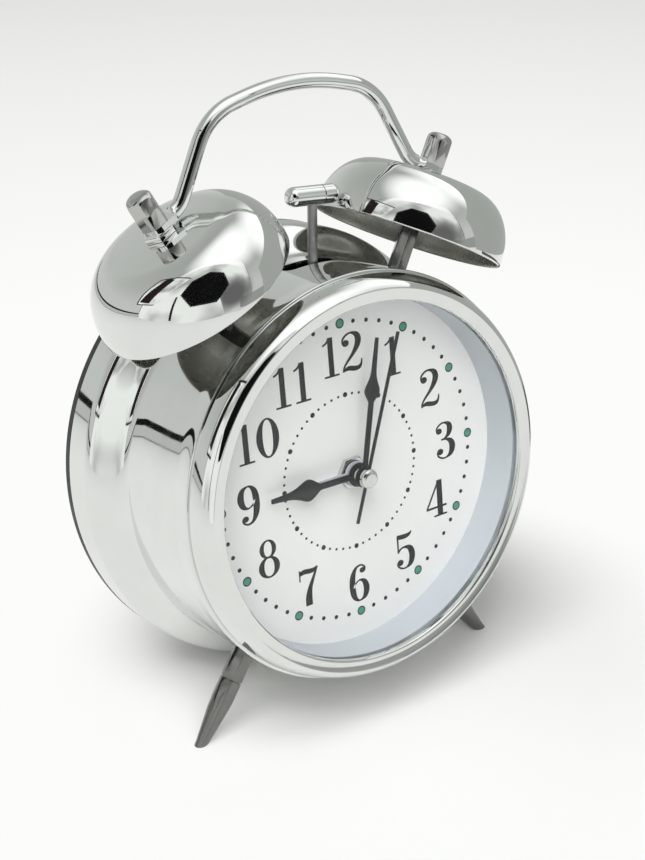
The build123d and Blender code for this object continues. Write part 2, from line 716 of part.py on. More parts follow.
def hammer_arm():
    """Flat stem with a pivot eye and, below it, a frame round the crank pin."""
    frame_w = 2 * (2 * CRANK_THROW + CRANK_PIN_R + PASS_GAP)
    frame_h = 2 * (CRANK_THROW + CRANK_PIN_R + PASS_GAP)
    stem = Pos(0, HAMMER_REACH / 2) * Rectangle(STEM_WIDTH, HAMMER_REACH)
    tail = Pos(0, -TAIL / 2) * Rectangle(STEM_WIDTH, TAIL)
    frame = RectangleRounded(frame_w + 2 * FRAME_BORDER, frame_h + 2 * FRAME_BORDER, FRAME_BORDER)
    flat = stem + tail + Pos(0, -TAIL) * frame + Circle(EYE_R)
    flat -= Pos(0, -TAIL) * Rectangle(frame_w, frame_h)
    flat -= Circle(PIN_R + RUN_FIT)
    return hammer_frame(Rot(90, 0, 0) * extrude(flat, STEM_THICK / 2, both=True))


def striker_bracket():
    """Plate on the back of the movement that carries hammer pivot and motor."""
    top = PIVOT_Z + BRACKET_HEAD
    bottom = MOVEMENT_TOP - BRACKET_FOOT
    plate = block(-BRACKET_WIDTH / 2, BRACKET_WIDTH / 2, MOVEMENT_REAR_Y, BRACKET_Y, bottom, top)
    plate = fillet(plate.edges().filter_by(Axis.Y), BRACKET_ROUND)
    plate += rod(EYE_R, STEM_BACK_Y + PASS_GAP, MOVEMENT_REAR_Y, 0, PIVOT_Z)
    plate -= rod(PIN_R, STEM_BACK_Y, BRACKET_Y + 1, 0, PIVOT_Z)
    plate -= rod(MOTOR_BOSS_R + SEAT_FIT, MOVEMENT_REAR_Y - 1, BRACKET_Y + 1, 0, CRANK_Z)
    for x in (-BRACKET_SCREW_X, BRACKET_SCREW_X):
        plate -= rod(SCREW_R + SEAT_FIT, MOVEMENT_REAR_Y - 1, BRACKET_Y + 1, x, bracket_screw_z())
    return plate


def bracket_screw_z():
    """Height of the two screws that hold the bracket to the movement."""
    return MOVEMENT_TOP - BRACKET_SCREW_DROP


def bracket_screws():
    """Two screws that hold the bracket to the movement."""
    screws = []
    for x in (-BRACKET_SCREW_X, BRACKET_SCREW_X):
        z = bracket_screw_z()
        head = rod(SMALL_HEAD_R, BRACKET_Y, BRACKET_Y + SCREW_HEAD, x, z)
        screws.append(head + rod(SCREW_R, MOVEMENT_REAR_Y - SCREW_BITE, BRACKET_Y, x, z))
    return Compound(screws)


def hammer_pin():
    """Headed pivot pin in front of the bracket."""
    front = STEM_FRONT_Y - PASS_GAP
    return rod(PIN_R, front, BRACKET_Y, 0, PIVOT_Z) + rod(PIN_HEAD_R, front - PIN_HEAD, front, 0, PIVOT_Z)


def motor_can():
    """Small motor behind the bracket, with its bearing boss in the bracket's hole."""
    can = rod(MOTOR_R, BRACKET_Y, BRACKET_Y + MOTOR_LENGTH, 0, CRANK_Z)
    can = fillet(can.edges().sort_by(Axis.Y)[-1], MOTOR_ROUND)
    rear = BRACKET_Y + MOTOR_LENGTH
    can &= block(-MOTOR_R, MOTOR_R, BRACKET_Y, rear, CRANK_Z - MOTOR_FLAT, CRANK_Z + MOTOR_FLAT)
    can += rod(MOTOR_BOSS_R, BRACKET_Y - MOTOR_BOSS, BRACKET_Y, 0, CRANK_Z)
    can += rod(MOTOR_BOSS_R, rear, rear + MOTOR_BOSS, 0, CRANK_Z)
    return can - rod(MOTOR_SHAFT_R + RUN_FIT, BRACKET_Y - 2 * MOTOR_BOSS, rear, 0, CRANK_Z)


def motor_crank():
    """Motor shaft with its crank disc and pin, the pin to the left as the hammer leans right."""
    crank = rod(MOTOR_SHAFT_R, CRANK_Y, BRACKET_Y + MOTOR_LENGTH - PASS_GAP, 0, CRANK_Z)
    crank += rod(CRANK_R, CRANK_Y, CRANK_Y + CRANK_THICK, 0, CRANK_Z)
    return crank + rod(CRANK_PIN_R, STEM_FRONT_Y - PASS_GAP, CRANK_Y, -CRANK_THROW, CRANK_Z)


# Movement housing

def movement_block(y0, y1, inset):
    """The movement's rounded block between two depths, drawn in by an inset."""
    corner = HOUSING_ROUND - inset / 2
    outline = RectangleRounded(MOVEMENT_WIDTH - 2 * inset, MOVEMENT_HEIGHT - 2 * inset, corner)
    return facing_back(extrude(outline, y1 - y0), 0, y0, MOVEMENT_MID_Z)


def movement_front():
    """Front plate of the movement with its threaded bush through the dial."""
    plate = movement_block(MOVEMENT_Y, PLATE_Y, 0)
    plate += rod(BUSH_R, -BUSH_PROUD, MOVEMENT_Y)
    plate -= rod(ALARM_TUBE_R + RUN_FIT, -BUSH_PROUD - 1, PLATE_Y + 1)
    plate -= rod(ARBOR_R + RUN_FIT, PLATE_Y - HOUSING_WALL / 2, PLATE_Y + 1, TIME_X)
    return plate - rod(ALARM_ARBOR_R + RUN_FIT, PLATE_Y - HOUSING_WALL / 2, PLATE_Y + 1, ALARM_X)


def movement_rear():
    """Rear tray of the movement with its bearings and the third wheel's post."""
    tray = movement_block(PLATE_Y, MOVEMENT_REAR_Y, 0) - movement_block(PLATE_Y - 1, FLOOR_Y, HOUSING_WALL)
    tray += rod(POST_R, CENTRE_WHEEL_Y, FLOOR_Y, 0, -TRAIN_DISTANCE)
    tray -= rod(SECOND_R + RUN_FIT, FLOOR_Y - 1, FLOOR_Y + HOUSING_WALL / 2)
    tray -= rod(ARBOR_R + RUN_FIT, FLOOR_Y - 1, MOVEMENT_REAR_Y + 1, TIME_X)
    tray -= rod(ALARM_ARBOR_R + RUN_FIT, FLOOR_Y - 1, MOVEMENT_REAR_Y + 1, ALARM_X)
    for x, z in pillar_places():
        tray -= rod(SCREW_R, MOVEMENT_REAR_Y - SCREW_BITE, MOVEMENT_REAR_Y + 1, x, z)
    for x in (-BRACKET_SCREW_X, BRACKET_SCREW_X):
        tray -= rod(SCREW_R, MOVEMENT_REAR_Y - SCREW_BITE, MOVEMENT_REAR_Y + 1, x, bracket_screw_z())
    return tray


def centre_nut():
    """Nut on the bush that clamps the dial to the movement."""
    nut = extrude(RegularPolygon(CENTRE_NUT_FLATS / 2, 6, major_radius=False), CENTRE_NUT_HEIGHT)
    nut -= Cylinder(BUSH_R + RUN_FIT, 4 * CENTRE_NUT_HEIGHT)
    return facing_back(nut, 0, -CENTRE_NUT_HEIGHT)


def circuit_board():
    """Quartz circuit board on the floor of the tray, with its potted chip and crystal."""
    z0 = MOVEMENT_BOTTOM + HOUSING_WALL + BOARD_LIFT
    half = BOARD_WIDTH / 2
    face_y = FLOOR_Y - BOARD_THICK
    board = block(-half, half, face_y, FLOOR_Y, z0, z0 + BOARD_HEIGHT)
    chip_x = half - CHIP_EDGE
    chip_z = z0 + CHIP_LIFT
    chip = block(chip_x - CHIP_SIDE, chip_x, face_y - CHIP_THICK, face_y, chip_z, chip_z + CHIP_SIDE)
    can = Rot(0, 90, 0) * Cylinder(CRYSTAL_R, CRYSTAL_LENGTH)
    crystal = Pos(chip_x - CHIP_SIDE / 2, face_y - CRYSTAL_R + CRYSTAL_SINK, z0 + CRYSTAL_LIFT) * can
    return board + chip + crystal


def coil_mid_y():
    """Depth of the stepper coil's own axis."""
    return FLOOR_Y - BOARD_THICK - FLANGE_SIDE / 2


def stepper_coil():
    """Coil of the stepper drive: winding between two square flanges."""
    winding = Rot(0, 90, 0) * Cylinder(COIL_R, COIL_LENGTH)
    flange = Box(FLANGE_WIDTH, FLANGE_SIDE, FLANGE_SIDE)
    for side in (-1, 1):
        winding += Pos(side * (COIL_LENGTH - FLANGE_WIDTH) / 2, 0, 0) * flange
    winding -= Box(2 * COIL_LENGTH, CORE_THICK + SEAT_FIT, CORE_WIDTH + SEAT_FIT)
    return Pos(0, coil_mid_y(), COIL_Z) * winding


def stepper_stator():
    """Core through the coil with a leg at each end."""
    core = Box(STATOR_SPAN, CORE_THICK, CORE_WIDTH)
    for side in (-1, 1):
        leg = Box(CORE_WIDTH, CORE_THICK, STATOR_LEG, align=(Align.CENTER, Align.CENTER, Align.MIN))
        core += Pos(side * (STATOR_SPAN - CORE_WIDTH) / 2, 0, -CORE_WIDTH / 2) * leg
    return Pos(0, coil_mid_y(), COIL_Z) * core


# Gears

def involute(angle):
    """Involute function of an angle in radians."""
    return tan(angle) - angle


def gear_outline(teeth, module, turn):
    """Outline of a spur gear, a tooth centred on the given turn in radians."""
    pitch_r = teeth * module / 2
    base_r = pitch_r * cos(radians(PRESSURE_ANGLE))
    tip_r = pitch_r + ADDENDUM * module
    root_r = pitch_r - DEDENDUM * module
    half_pitch = pi * TOOTH_SHARE / teeth + involute(radians(PRESSURE_ANGLE))
    flank = []
    for radius in (root_r, pitch_r, (pitch_r + tip_r) / 2, tip_r):
        opened = involute(acos(base_r / radius)) if radius > base_r else 0
        flank.append((radius, half_pitch - opened))
    points = []
    for tooth in range(teeth):
        middle = turn + 2 * pi * tooth / teeth
        for radius, half in flank:
            points.append((radius, middle - half))
        for radius, half in reversed(flank):
            points.append((radius, middle + half))
    return make_face(Polyline(*[(r * cos(a), r * sin(a)) for r, a in points], close=True))


def gear(teeth, module, y, width, aim, tooth):
    """Spur gear about Y at a depth, with a tooth or a gap towards the aim (degrees from +X to -Z)."""
    turn = radians(aim) + (0 if tooth else pi / teeth)
    return facing_back(extrude(gear_outline(teeth, module, turn), width), 0, y)


def module_for(distance, teeth_a, teeth_b):
    """Module that sets two gears at a centre distance."""
    return 2 * distance / (teeth_a + teeth_b)


def cannon_pinion():
    """Minute tube with the pinion that drives the motion work."""
    module = module_for(MOTION_DISTANCE, CANNON_TEETH, MOTION_TEETH)
    piece = gear(CANNON_TEETH, module, CANNON_Y, GEAR_THICK + PINION_EXTRA, 180, True)
    piece += rod(CANNON_R, -MINUTE_HAND["height"] - HAND_THICK, CENTRE_WHEEL_Y + GEAR_THICK)
    return piece - rod(SECOND_R + RUN_FIT, -MINUTE_HAND["height"] - 2, CENTRE_WHEEL_Y + 2 * GEAR_THICK)


def motion_wheel():
    """Motion wheel and pinion on the time setting arbor."""
    wheel_module = module_for(MOTION_DISTANCE, CANNON_TEETH, MOTION_TEETH)
    pinion_module = module_for(MOTION_DISTANCE, MOTION_PINION_TEETH, HOUR_TEETH)
    piece = gear(MOTION_TEETH, wheel_module, CANNON_Y + PINION_EXTRA / 2, GEAR_THICK, 0, False)
    pinion_width = CANNON_Y - HOUR_WHEEL_Y + GEAR_GAP / 2
    piece += gear(MOTION_PINION_TEETH, pinion_module, HOUR_WHEEL_Y - PINION_EXTRA, pinion_width, 0, True)
    piece += rod(ARBOR_R, PLATE_Y - HOUSING_WALL / 2, MOVEMENT_REAR_Y + ARBOR_PROUD)
    return Pos(TIME_X, 0, 0) * piece


def hour_wheel():
    """Hour wheel on its tube."""
    module = module_for(MOTION_DISTANCE, MOTION_PINION_TEETH, HOUR_TEETH)
    piece = gear(HOUR_TEETH, module, HOUR_WHEEL_Y, GEAR_THICK, 180, False)
    piece += rod(HOUR_TUBE_R, -HOUR_HAND["height"] - HAND_THICK, HOUR_WHEEL_Y)
    return piece - rod(CANNON_R + RUN_FIT, -HOUR_HAND["height"] - 2, CANNON_Y)


def alarm_wheel():
    """Alarm wheel on the outermost tube."""
    module = module_for(ALARM_DISTANCE, ALARM_TEETH, ALARM_TEETH)
    piece = gear(ALARM_TEETH, module, ALARM_WHEEL_Y, GEAR_THICK, 0, True)
    piece += rod(ALARM_TUBE_R, -ALARM_HAND["height"] - HAND_THICK, ALARM_WHEEL_Y)
    return piece - rod(HOUR_TUBE_R + RUN_FIT, -ALARM_HAND["height"] - 2, HOUR_WHEEL_Y)


def alarm_setting_pinion():
    """Pinion on the alarm setting arbor."""
    module = module_for(ALARM_DISTANCE, ALARM_TEETH, ALARM_TEETH)
    piece = gear(ALARM_TEETH, module, ALARM_WHEEL_Y, GEAR_THICK, 180, False)
    piece += rod(ALARM_ARBOR_R, PLATE_Y - HOUSING_WALL / 2, MOVEMENT_REAR_Y + ARBOR_PROUD)
    return Pos(ALARM_X, 0, 0) * piece


def second_arbor():
    """Centre arbor of the second hand with its wheel and pinion."""
    module = module_for(TRAIN_DISTANCE, SECOND_PINION_TEETH, THIRD_TEETH)
    wheel_module = 2 * SECOND_WHEEL_R / SECOND_WHEEL_TEETH
    pinion_width = GEAR_THICK + PINION_EXTRA
    piece = gear(SECOND_PINION_TEETH, module, THIRD_WHEEL_Y - PINION_EXTRA, pinion_width, 90, True)
    piece += gear(SECOND_WHEEL_TEETH, wheel_module, SECOND_WHEEL_Y, GEAR_THICK, 0, True)
    piece += rod(SECOND_HUB_R, THIRD_WHEEL_Y + GEAR_THICK, SECOND_WHEEL_Y)
    return piece + rod(SECOND_R, -SECOND_HAND["height"] - HAND_THICK, FLOOR_Y + HOUSING_WALL / 2)


def third_wheel():
    """Third wheel and pinion, turning on the tray's post."""
    wheel_module = module_for(TRAIN_DISTANCE, SECOND_PINION_TEETH, THIRD_TEETH)
    pinion_module = module_for(TRAIN_DISTANCE, THIRD_PINION_TEETH, CENTRE_TEETH)
    piece = gear(THIRD_TEETH, wheel_module, THIRD_WHEEL_Y, THIRD_THICK, 270, False)
    piece += gear(THIRD_PINION_TEETH, pinion_module, CENTRE_WHEEL_Y, GEAR_THICK + GEAR_GAP, 270, True)
    piece -= rod(POST_R + RUN_FIT, CENTRE_WHEEL_Y - 1, SECOND_WHEEL_Y + 1)
    return Pos(0, 0, -TRAIN_DISTANCE) * piece


def centre_wheel():
    """Centre wheel, a friction seat on the tail of the minute tube."""
    module = module_for(TRAIN_DISTANCE, THIRD_PINION_TEETH, CENTRE_TEETH)
    piece = gear(CENTRE_TEETH, module, CENTRE_WHEEL_Y, GEAR_THICK, 90, False)
    return piece - rod(CANNON_R + RUN_FIT, CENTRE_WHEEL_Y - 1, CENTRE_WHEEL_Y + 2 * GEAR_THICK)


# Hands

def set_hand(outline, hand, bore):
    """Raise a hand drawn along +Y to its height, turn it to its clock angle and drill it."""
    flat = extrude(outline - Circle(bore), HAND_THICK)
    return Pos(0, -hand["height"], 0) * Rot(0, hand["angle"], 0) * Rot(90, 0, 0) * flat


def hand_length(hand):
    """How far a hand reaches from the hand axis."""
    return hand["reach"] * BEZEL_OPENING_R


def spade_hand(hand, bore):
    """Hand with a round spade that draws out into a narrow blunt tip."""
    stem = hand["stem"] / 2
    wide = hand["wide"] / 2
    tip = hand["tip"] / 2
    neck = tip * NECK_SHARE
    length = hand_length(hand)
    spade = hand["spade"] * length
    low = spade - SPADE_RISE * wide
    high = spade + SPADE_DRAW * wide
    narrowing = (tip - neck) / (length - high)
    swell = Spline((stem, low), (wide, spade), (neck, high), tangents=((SPADE_LEAN, 1), (narrowing, 1)))
    base = Polyline(swell @ 0, (stem, 0), (-stem, 0), (-stem, low))
    top = Polyline(swell @ 1, (tip, length), (-tip, length), (-neck, high))
    blade = make_face([swell, base, mirror(swell, about=Plane.YZ), top])
    return set_hand(blade + Circle(hand["hub"]), hand, bore)


def alarm_hand():
    """Short plain hand that shows the alarm time."""
    length = hand_length(ALARM_HAND)
    stem = ALARM_HAND["stem"] / 2
    tip = ALARM_HAND["tip"] / 2
    blade = make_face(Polyline((-stem, 0), (stem, 0), (tip, length), (-tip, length), close=True))
    return set_hand(blade + Circle(ALARM_HAND["hub"]), ALARM_HAND, ALARM_TUBE_R)


def second_hand():
    """Straight thin hand with a tail."""
    length = hand_length(SECOND_HAND)
    tail = SECOND_HAND["tail"] * BEZEL_OPENING_R
    blade = Pos(0, (length - tail) / 2) * Rectangle(SECOND_HAND["stem"], length + tail)
    return set_hand(blade + Circle(SECOND_HAND["hub"]), SECOND_HAND, SECOND_R)


def hand_cap():
    """Bright domed cap on the end of the second hand's arbor."""
    base = -SECOND_HAND["height"] - HAND_THICK
    cap = rod(CAP_R, base - CAP_DOME, base)
    return fillet(cap.edges().sort_by(Axis.Y)[0], CAP_EDGE)


# Knobs and switch

def knob(x):
    """Fluted setting knob whose stem reaches through the cover to its arbor."""
    base = COVER_FLOOR_Y + PASS_GAP
    socket_r = ARBOR_R if x < 0 else ALARM_ARBOR_R
    arbor_end = MOVEMENT_REAR_Y + ARBOR_PROUD
    piece = rod(KNOB_R, base, base + KNOB_HEIGHT)
    piece = chamfer(piece.edges().sort_by(Axis.Y)[-1], KNOB_CHAMFER)
    for flute in range(KNOB_FLUTES):
        angle = 2 * pi * flute / KNOB_FLUTES
        piece -= rod(FLUTE_R, base - 1, base + KNOB_HEIGHT + 1, KNOB_R * cos(angle), KNOB_R * sin(angle))
    piece += rod(KNOB_STEM_R, arbor_end - KNOB_SOCKET, base)
    return Pos(x, 0, 0) * (piece - rod(socket_r, arbor_end - KNOB_SOCKET - 1, arbor_end))


def alarm_switch():
    """Sliding alarm button with its keeper plate under the cover's floor."""
    inner_y = COVER_FLOOR_Y - COVER_FLOOR
    button = Box(SWITCH_WIDTH, COVER_FLOOR + PASS_GAP + SWITCH_PROUD, SWITCH_LENGTH,
                 align=(Align.CENTER, Align.MIN, Align.CENTER))
    plate = Box(SWITCH_WIDTH + 2 * SWITCH_BORDER, SWITCH_PLATE, SWITCH_LENGTH,
                align=(Align.CENTER, Align.MAX, Align.CENTER))
    return Pos(SWITCH_X, inner_y - PASS_GAP, SWITCH_Z) * (button + plate)


def switch_body():
    """Fixed switch housing under the cover, with a channel for the sliding button's plate."""
    inner_y = COVER_FLOOR_Y - COVER_FLOOR
    width = SWITCH_WIDTH + 2 * SWITCH_BORDER
    length = SWITCH_LENGTH + SWITCH_TRAVEL + 2 * PASS_GAP
    middle = SWITCH_Z + SWITCH_TRAVEL / 2
    shell = Box(width + 2 * SWITCH_BORDER, SWITCH_BODY, length + 2 * SWITCH_BORDER,
                align=(Align.CENTER, Align.MAX, Align.CENTER))
    channel = Box(width + 2 * PASS_GAP, SWITCH_PLATE + 2 * PASS_GAP, length,
                  align=(Align.CENTER, Align.MAX, Align.CENTER))
    return Pos(SWITCH_X, inner_y, middle) * (shell - channel)


def clock_pieces():
    """Every node of the clock, in the clock's own axes."""
    posts = bell_places(BELL_Y)
    feet = foot_places()
    pieces = {
        "case_shell": case_shell(),
        "bezel_ring": bezel_ring(),
        "lens": lens(),
        "reflector_ring": reflector_ring(),
        "dial": dial(),
        "centre_nut": centre_nut(),
        "rear_cover": rear_cover(),
        "cover_screws": cover_screws(),
        "battery_door": battery_door(),
        "battery_cell": battery_cell(),
        "battery_contacts": battery_contacts(),
        "handle": handle(),
        "collar_nuts": paired(collar_nut(), posts),
        "cap_nuts": paired(cap_nut(), posts),
        "post_nuts": paired(inner_nut(BELL_OFFSET), posts),
        "foot_nuts": paired(inner_nut(0), feet),
        "hammer_head": hammer_head(),
        "hammer_arm": hammer_arm(),
        "hammer_pin": hammer_pin(),
        "striker_bracket": striker_bracket(),
        "bracket_screws": bracket_screws(),
        "motor_can": motor_can(),
        "motor_crank": motor_crank(),
        "movement_front": movement_front(),
        "movement_rear": movement_rear(),
        "circuit_board": circuit_board(),
        "stepper_coil": stepper_coil(),
        "stepper_stator": stepper_stator(),
        "cannon_pinion": cannon_pinion(),
        "motion_wheel": motion_wheel(),
        "hour_wheel": hour_wheel(),
        "alarm_wheel": alarm_wheel(),
        "alarm_setting_pinion": alarm_setting_pinion(),
        "second_arbor": second_arbor(),
        "third_wheel": third_wheel(),
        "centre_wheel": centre_wheel(),
        "alarm_hand": alarm_hand(),
        "hour_hand": spade_hand(HOUR_HAND, HOUR_TUBE_R),
        "minute_hand": spade_hand(MINUTE_HAND, CANNON_R),
        "second_hand": second_hand(),
        "hand_cap": hand_cap(),
        "time_knob": knob(TIME_X),
        "alarm_knob": knob(ALARM_X),
        "alarm_switch": alarm_switch(),
        "switch_body": switch_body(),
    }
    for side, place in posts.items():
        pieces[side + "_bell"] = place * bell()
        post = bell_post() if side == "right" else mirror(bell_post(), Plane.YZ)
        pieces[side + "_bell_post"] = place * post
    for side, place in feet.items():
        pieces[side + "_foot"] = foot(place)
    return pieces


def stance(pieces):
    """The move that leans the clock back and sets it on the floor, over the origin."""
    lean = Rot(-TILT, 0, 0)
    boxes = [(lean * piece).bounding_box() for piece in pieces.values()]
    front = min(box.min.Y for box in boxes)
    back = max(box.max.Y for box in boxes)
    return Pos(0, -(front + back) / 2, FLOOR_DROP) * lean


PIECES = clock_pieces()
STANCE = stance(PIECES)
os.makedirs("parts", exist_ok=True)
for node, piece in PIECES.items():
    export_step(STANCE * piece, os.path.join("parts", node + ".step"))
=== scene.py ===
"""Twin bell alarm clock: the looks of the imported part, its studio and its camera."""

import json
import logging
from collections.abc import Iterable, Sequence
from dataclasses import dataclass, field
from enum import Enum
from math import atan2, copysign, cos, pi, radians, sin

import bpy
from mathutils import Euler, Matrix, Vector

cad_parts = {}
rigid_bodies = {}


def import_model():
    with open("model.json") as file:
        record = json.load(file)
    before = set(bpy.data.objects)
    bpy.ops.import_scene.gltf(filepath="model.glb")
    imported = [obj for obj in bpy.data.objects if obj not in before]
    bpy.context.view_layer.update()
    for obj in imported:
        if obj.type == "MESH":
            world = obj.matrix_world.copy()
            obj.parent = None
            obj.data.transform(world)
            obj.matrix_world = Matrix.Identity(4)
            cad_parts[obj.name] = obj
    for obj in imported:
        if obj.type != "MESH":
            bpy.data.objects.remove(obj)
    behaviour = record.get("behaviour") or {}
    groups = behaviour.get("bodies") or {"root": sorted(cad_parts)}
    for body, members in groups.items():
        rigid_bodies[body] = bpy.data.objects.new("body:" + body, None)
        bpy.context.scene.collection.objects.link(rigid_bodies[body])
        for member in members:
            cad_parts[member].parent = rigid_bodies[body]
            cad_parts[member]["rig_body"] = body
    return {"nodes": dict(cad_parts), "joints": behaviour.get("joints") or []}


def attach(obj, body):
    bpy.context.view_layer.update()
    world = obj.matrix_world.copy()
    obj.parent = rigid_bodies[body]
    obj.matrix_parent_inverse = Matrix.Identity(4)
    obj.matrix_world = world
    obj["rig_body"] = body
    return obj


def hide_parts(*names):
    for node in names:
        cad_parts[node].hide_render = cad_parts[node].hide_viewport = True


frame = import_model()

LOG = logging.getLogger("clock")
MM = 0.001
FLAT_TO_FRONT = Matrix.Rotation(radians(90), 4, "X")
Z_TO_DEPTH = Matrix.Rotation(radians(-90), 4, "X")
SMOOTH_ANGLE = radians(35)
SAME_PLACE = 1e-6
# Noise between these two values takes a surface from its own gloss to that of its dull patches.
DULL_PATCHES = (0.35, 0.7)

Piece = bpy.types.Object
Feed = bpy.types.Node | bpy.types.NodeSocket
Point = tuple[float, float]
Place = tuple[float, float, float]
Profile = list[Point]
Stroke = list[Place]
Bow = tuple[Point, Point, Point]


class Side(Enum):
    """The two sides of the clock, as its user sees them."""

    LEFT = -1
    RIGHT = 1


class Grain(Enum):
    """The ways in which a surface's fine marks run."""

    EVEN = (1.0, 1.0, 1.0)
    ALONG_X = (0.06, 1.0, 1.0)
    ALONG_Z = (1.0, 1.0, 0.06)


def linear(code: str) -> tuple[float, float, float, float]:
    """Turns an sRGB hex code into the linear colour that a shader takes.

    Args:
        code: six hex digits after a hash sign.

    Returns:
        Red, green, blue and an alpha of one.
    """
    channels = [int(code[i : i + 2], 16) / 255 for i in (1, 3, 5)]
    red, green, blue = (c / 12.92 if c <= 0.04045 else ((c + 0.055) / 1.055) ** 2.4 for c in channels)
    return red, green, blue, 1.0


def add_node(
    tree: bpy.types.NodeTree,
    kind: str,
    settings: dict[str | int, object] | None = None,
    links: dict[str | int, Feed] | None = None,
) -> bpy.types.Node:
    """Adds one node to a tree.

    Args:
        tree: the tree that takes the node.
        kind: the node's type name.
        settings: values by the name of an attribute, or else by an input's name or number.
        links: what feeds an input, by the input's name or number: a socket, or a node's first output.

    Returns:
        The new node.
    """
    node = tree.nodes.new(kind)
    for name, value in (settings or {}).items():
        if isinstance(name, str) and hasattr(node, name):
            setattr(node, name, value)
        else:
            node.inputs[name].default_value = value
    for name, feed in (links or {}).items():
        socket = feed.outputs[0] if isinstance(feed, bpy.types.Node) else feed
        tree.links.new(socket, node.inputs[name])
    return node


def blank_material(name: str) -> bpy.types.Material:
    """Makes a material whose tree is still empty.

    Args:
        name: the material's name.

    Returns:
        The new material.
    """
    made = bpy.data.materials.new(name)
    made.use_nodes = True
    made.node_tree.nodes.clear()
    return made


@dataclass(frozen=True)
class Finish:
    """One surface as its maker leaves it, with the marks that the eye finds on it.

    Sizes are in millimetres, and a roughness pair is the surface's own and that of its dull patches.
    """

    name: str
    colour: str
    shade: str
    roughness: Point
    mottle: float
    grain: float
    relief: float
    metallic: float = 0.0
    ior: float = 1.5
    run: Grain = Grain.EVEN
    wave: float = 0.0
    wave_relief: float = 0.0
    alpha: float = 1.0

    def material(self) -> bpy.types.Material:
        """Makes the node material of this finish.

        Returns:
            The material, made once and then found again by its name.
        """
        known = bpy.data.materials.get(self.name)
        if known is not None:
            return known
        made = blank_material(self.name)
        tree = made.node_tree
        place = add_node(tree, "ShaderNodeTexCoord").outputs["Object"]
        run = add_node(tree, "ShaderNodeMapping", {"Scale": self.run.value}, {"Vector": place})
        spread = {"Scale": 1 / (self.mottle * MM), "Detail": 3.0, "Roughness": 0.55}
        patches = add_node(tree, "ShaderNodeTexNoise", spread, {"Vector": place}).outputs["Fac"]
        shades = {"data_type": "RGBA", 6: linear(self.colour), 7: linear(self.shade)}
        tint = add_node(tree, "ShaderNodeMix", shades, {"Factor": patches}).outputs[2]
        (least, most), (bright, dull) = DULL_PATCHES, self.roughness
        change = {"From Min": least, "From Max": most, "To Min": bright, "To Max": dull}
        gloss = add_node(tree, "ShaderNodeMapRange", change, {"Value": patches})
        layers = [(self.grain, self.relief, 2.0, run)]
        if self.wave:
            layers.append((self.wave, self.wave_relief, 1.0, place))
        normal: dict[str, Feed] = {}
        for size, relief, detail, way in layers:
            noise = {"Scale": 1 / (size * MM), "Detail": detail}
            marks = add_node(tree, "ShaderNodeTexNoise", noise, {"Vector": way}).outputs["Fac"]
            depth = {"Strength": 1.0, "Distance": relief * MM}
            bump = add_node(tree, "ShaderNodeBump", depth, {"Height": marks, **normal})
            normal = {"Normal": bump}
        shader = add_node(
            tree,
            "ShaderNodeBsdfPrincipled",
            {"Metallic": self.metallic, "IOR": self.ior, "Alpha": self.alpha},
            {"Base Color": tint, "Roughness": gloss, **normal},
        )
        add_node(tree, "ShaderNodeOutputMaterial", None, {"Surface": shader})
        return made


# Real grain is too fine to show at the photograph's size, so each grain here is drawn coarser.

# Bright chromium over drawn steel: a clear mirror with a slow ripple from the press and faint wiping haze.
CHROME = Finish(
    "chromium_plate_on_drawn_steel", "#E3E5E3", "#D8DAD8", (0.03, 0.07), 9.0, 0.5, 0.0003,
    metallic=1.0, wave=16.0, wave_relief=0.01,
)
# Nickel over a turned and wrapped bar: a grey sheen, drawn out along the bar.
NICKEL = Finish(
    "satin_nickel_on_turned_steel", "#BCBCB9", "#B0B0AD", (0.07, 0.13), 3.0, 0.35, 0.0012,
    metallic=1.0, run=Grain.ALONG_Z,
)
# Nickel buffed to a mirror on the small turned pieces of the dial: bright, with faint buffing haze.
BRIGHT_NICKEL = Finish(
    "buffed_nickel_on_turned_brass", "#DADBD8", "#CACBC8", (0.06, 0.12), 2.0, 0.3, 0.0005, metallic=1.0,
)
# Thin plate on hexagonal bar, left as the lathe leaves it: duller than the drum. It is also darker as
# painted shade, standing in for the dark surroundings that these bars mirror.
SHADED_BAR_PLATE = Finish(
    "satin_plate_on_hexagonal_bar_painted_dark", "#7E7E7B", "#70706D", (0.11, 0.19), 3.0, 0.35, 0.0012,
    metallic=1.0, run=Grain.ALONG_Z,
)
# Thin nickel in the hollow of a bell, which no wheel has polished: a dim grey haze.
DULL_NICKEL = Finish(
    "unpolished_nickel_on_drawn_steel", "#C8C7C0", "#B4B3AC", (0.24, 0.36), 5.0, 0.4, 0.003, metallic=0.6,
)
# Rolled steel strip: a grey sheen with the lines of the rolls.
STEEL = Finish(
    "rolled_steel_strip", "#B4B4B3", "#9D9D9C", (0.24, 0.36), 4.0, 0.4, 0.0018,
    metallic=1.0, run=Grain.ALONG_Z,
)
# Polystyrene window, cast flat: clear, with a soft gloss and the least haze.
WINDOW = Finish(
    "clear_polystyrene_sheet", "#F4F8FA", "#EEF3F6", (0.02, 0.05), 20.0, 4.0, 0.0004,
    ior=1.59, alpha=0.015,
)
# White moulded ABS: a soft even gloss over a fine tool texture. Its colour is painted light grey, as the
# shade that falls on the recessed wall round the dial.
SHADED_WHITE_ABS = Finish("white_moulded_abs_in_painted_shade", "#BFC5CA", "#B7BEC4", (0.34, 0.46), 8.0, 0.5, 0.004, ior=1.53)
# Matt white lacquer rolled on an aluminium plate: smooth, with a trace of mottling.
DIAL_LACQUER = Finish("white_lacquer_on_aluminium", "#F1F2F0", "#EBECEA", (0.42, 0.55), 12.0, 0.25, 0.0015)
# Screen ink: a very dark grey film with the mesh's faint unevenness.
DARK_INK = Finish("dark_grey_screen_ink", "#0F0E0F", "#1A191A", (0.5, 0.65), 0.8, 0.2, 0.003)
# Green screen ink of the hour dots: matt and slightly chalky.
GREEN_INK = Finish("green_screen_ink", "#4B9C83", "#3D8A72", (0.5, 0.65), 0.6, 0.2, 0.004)
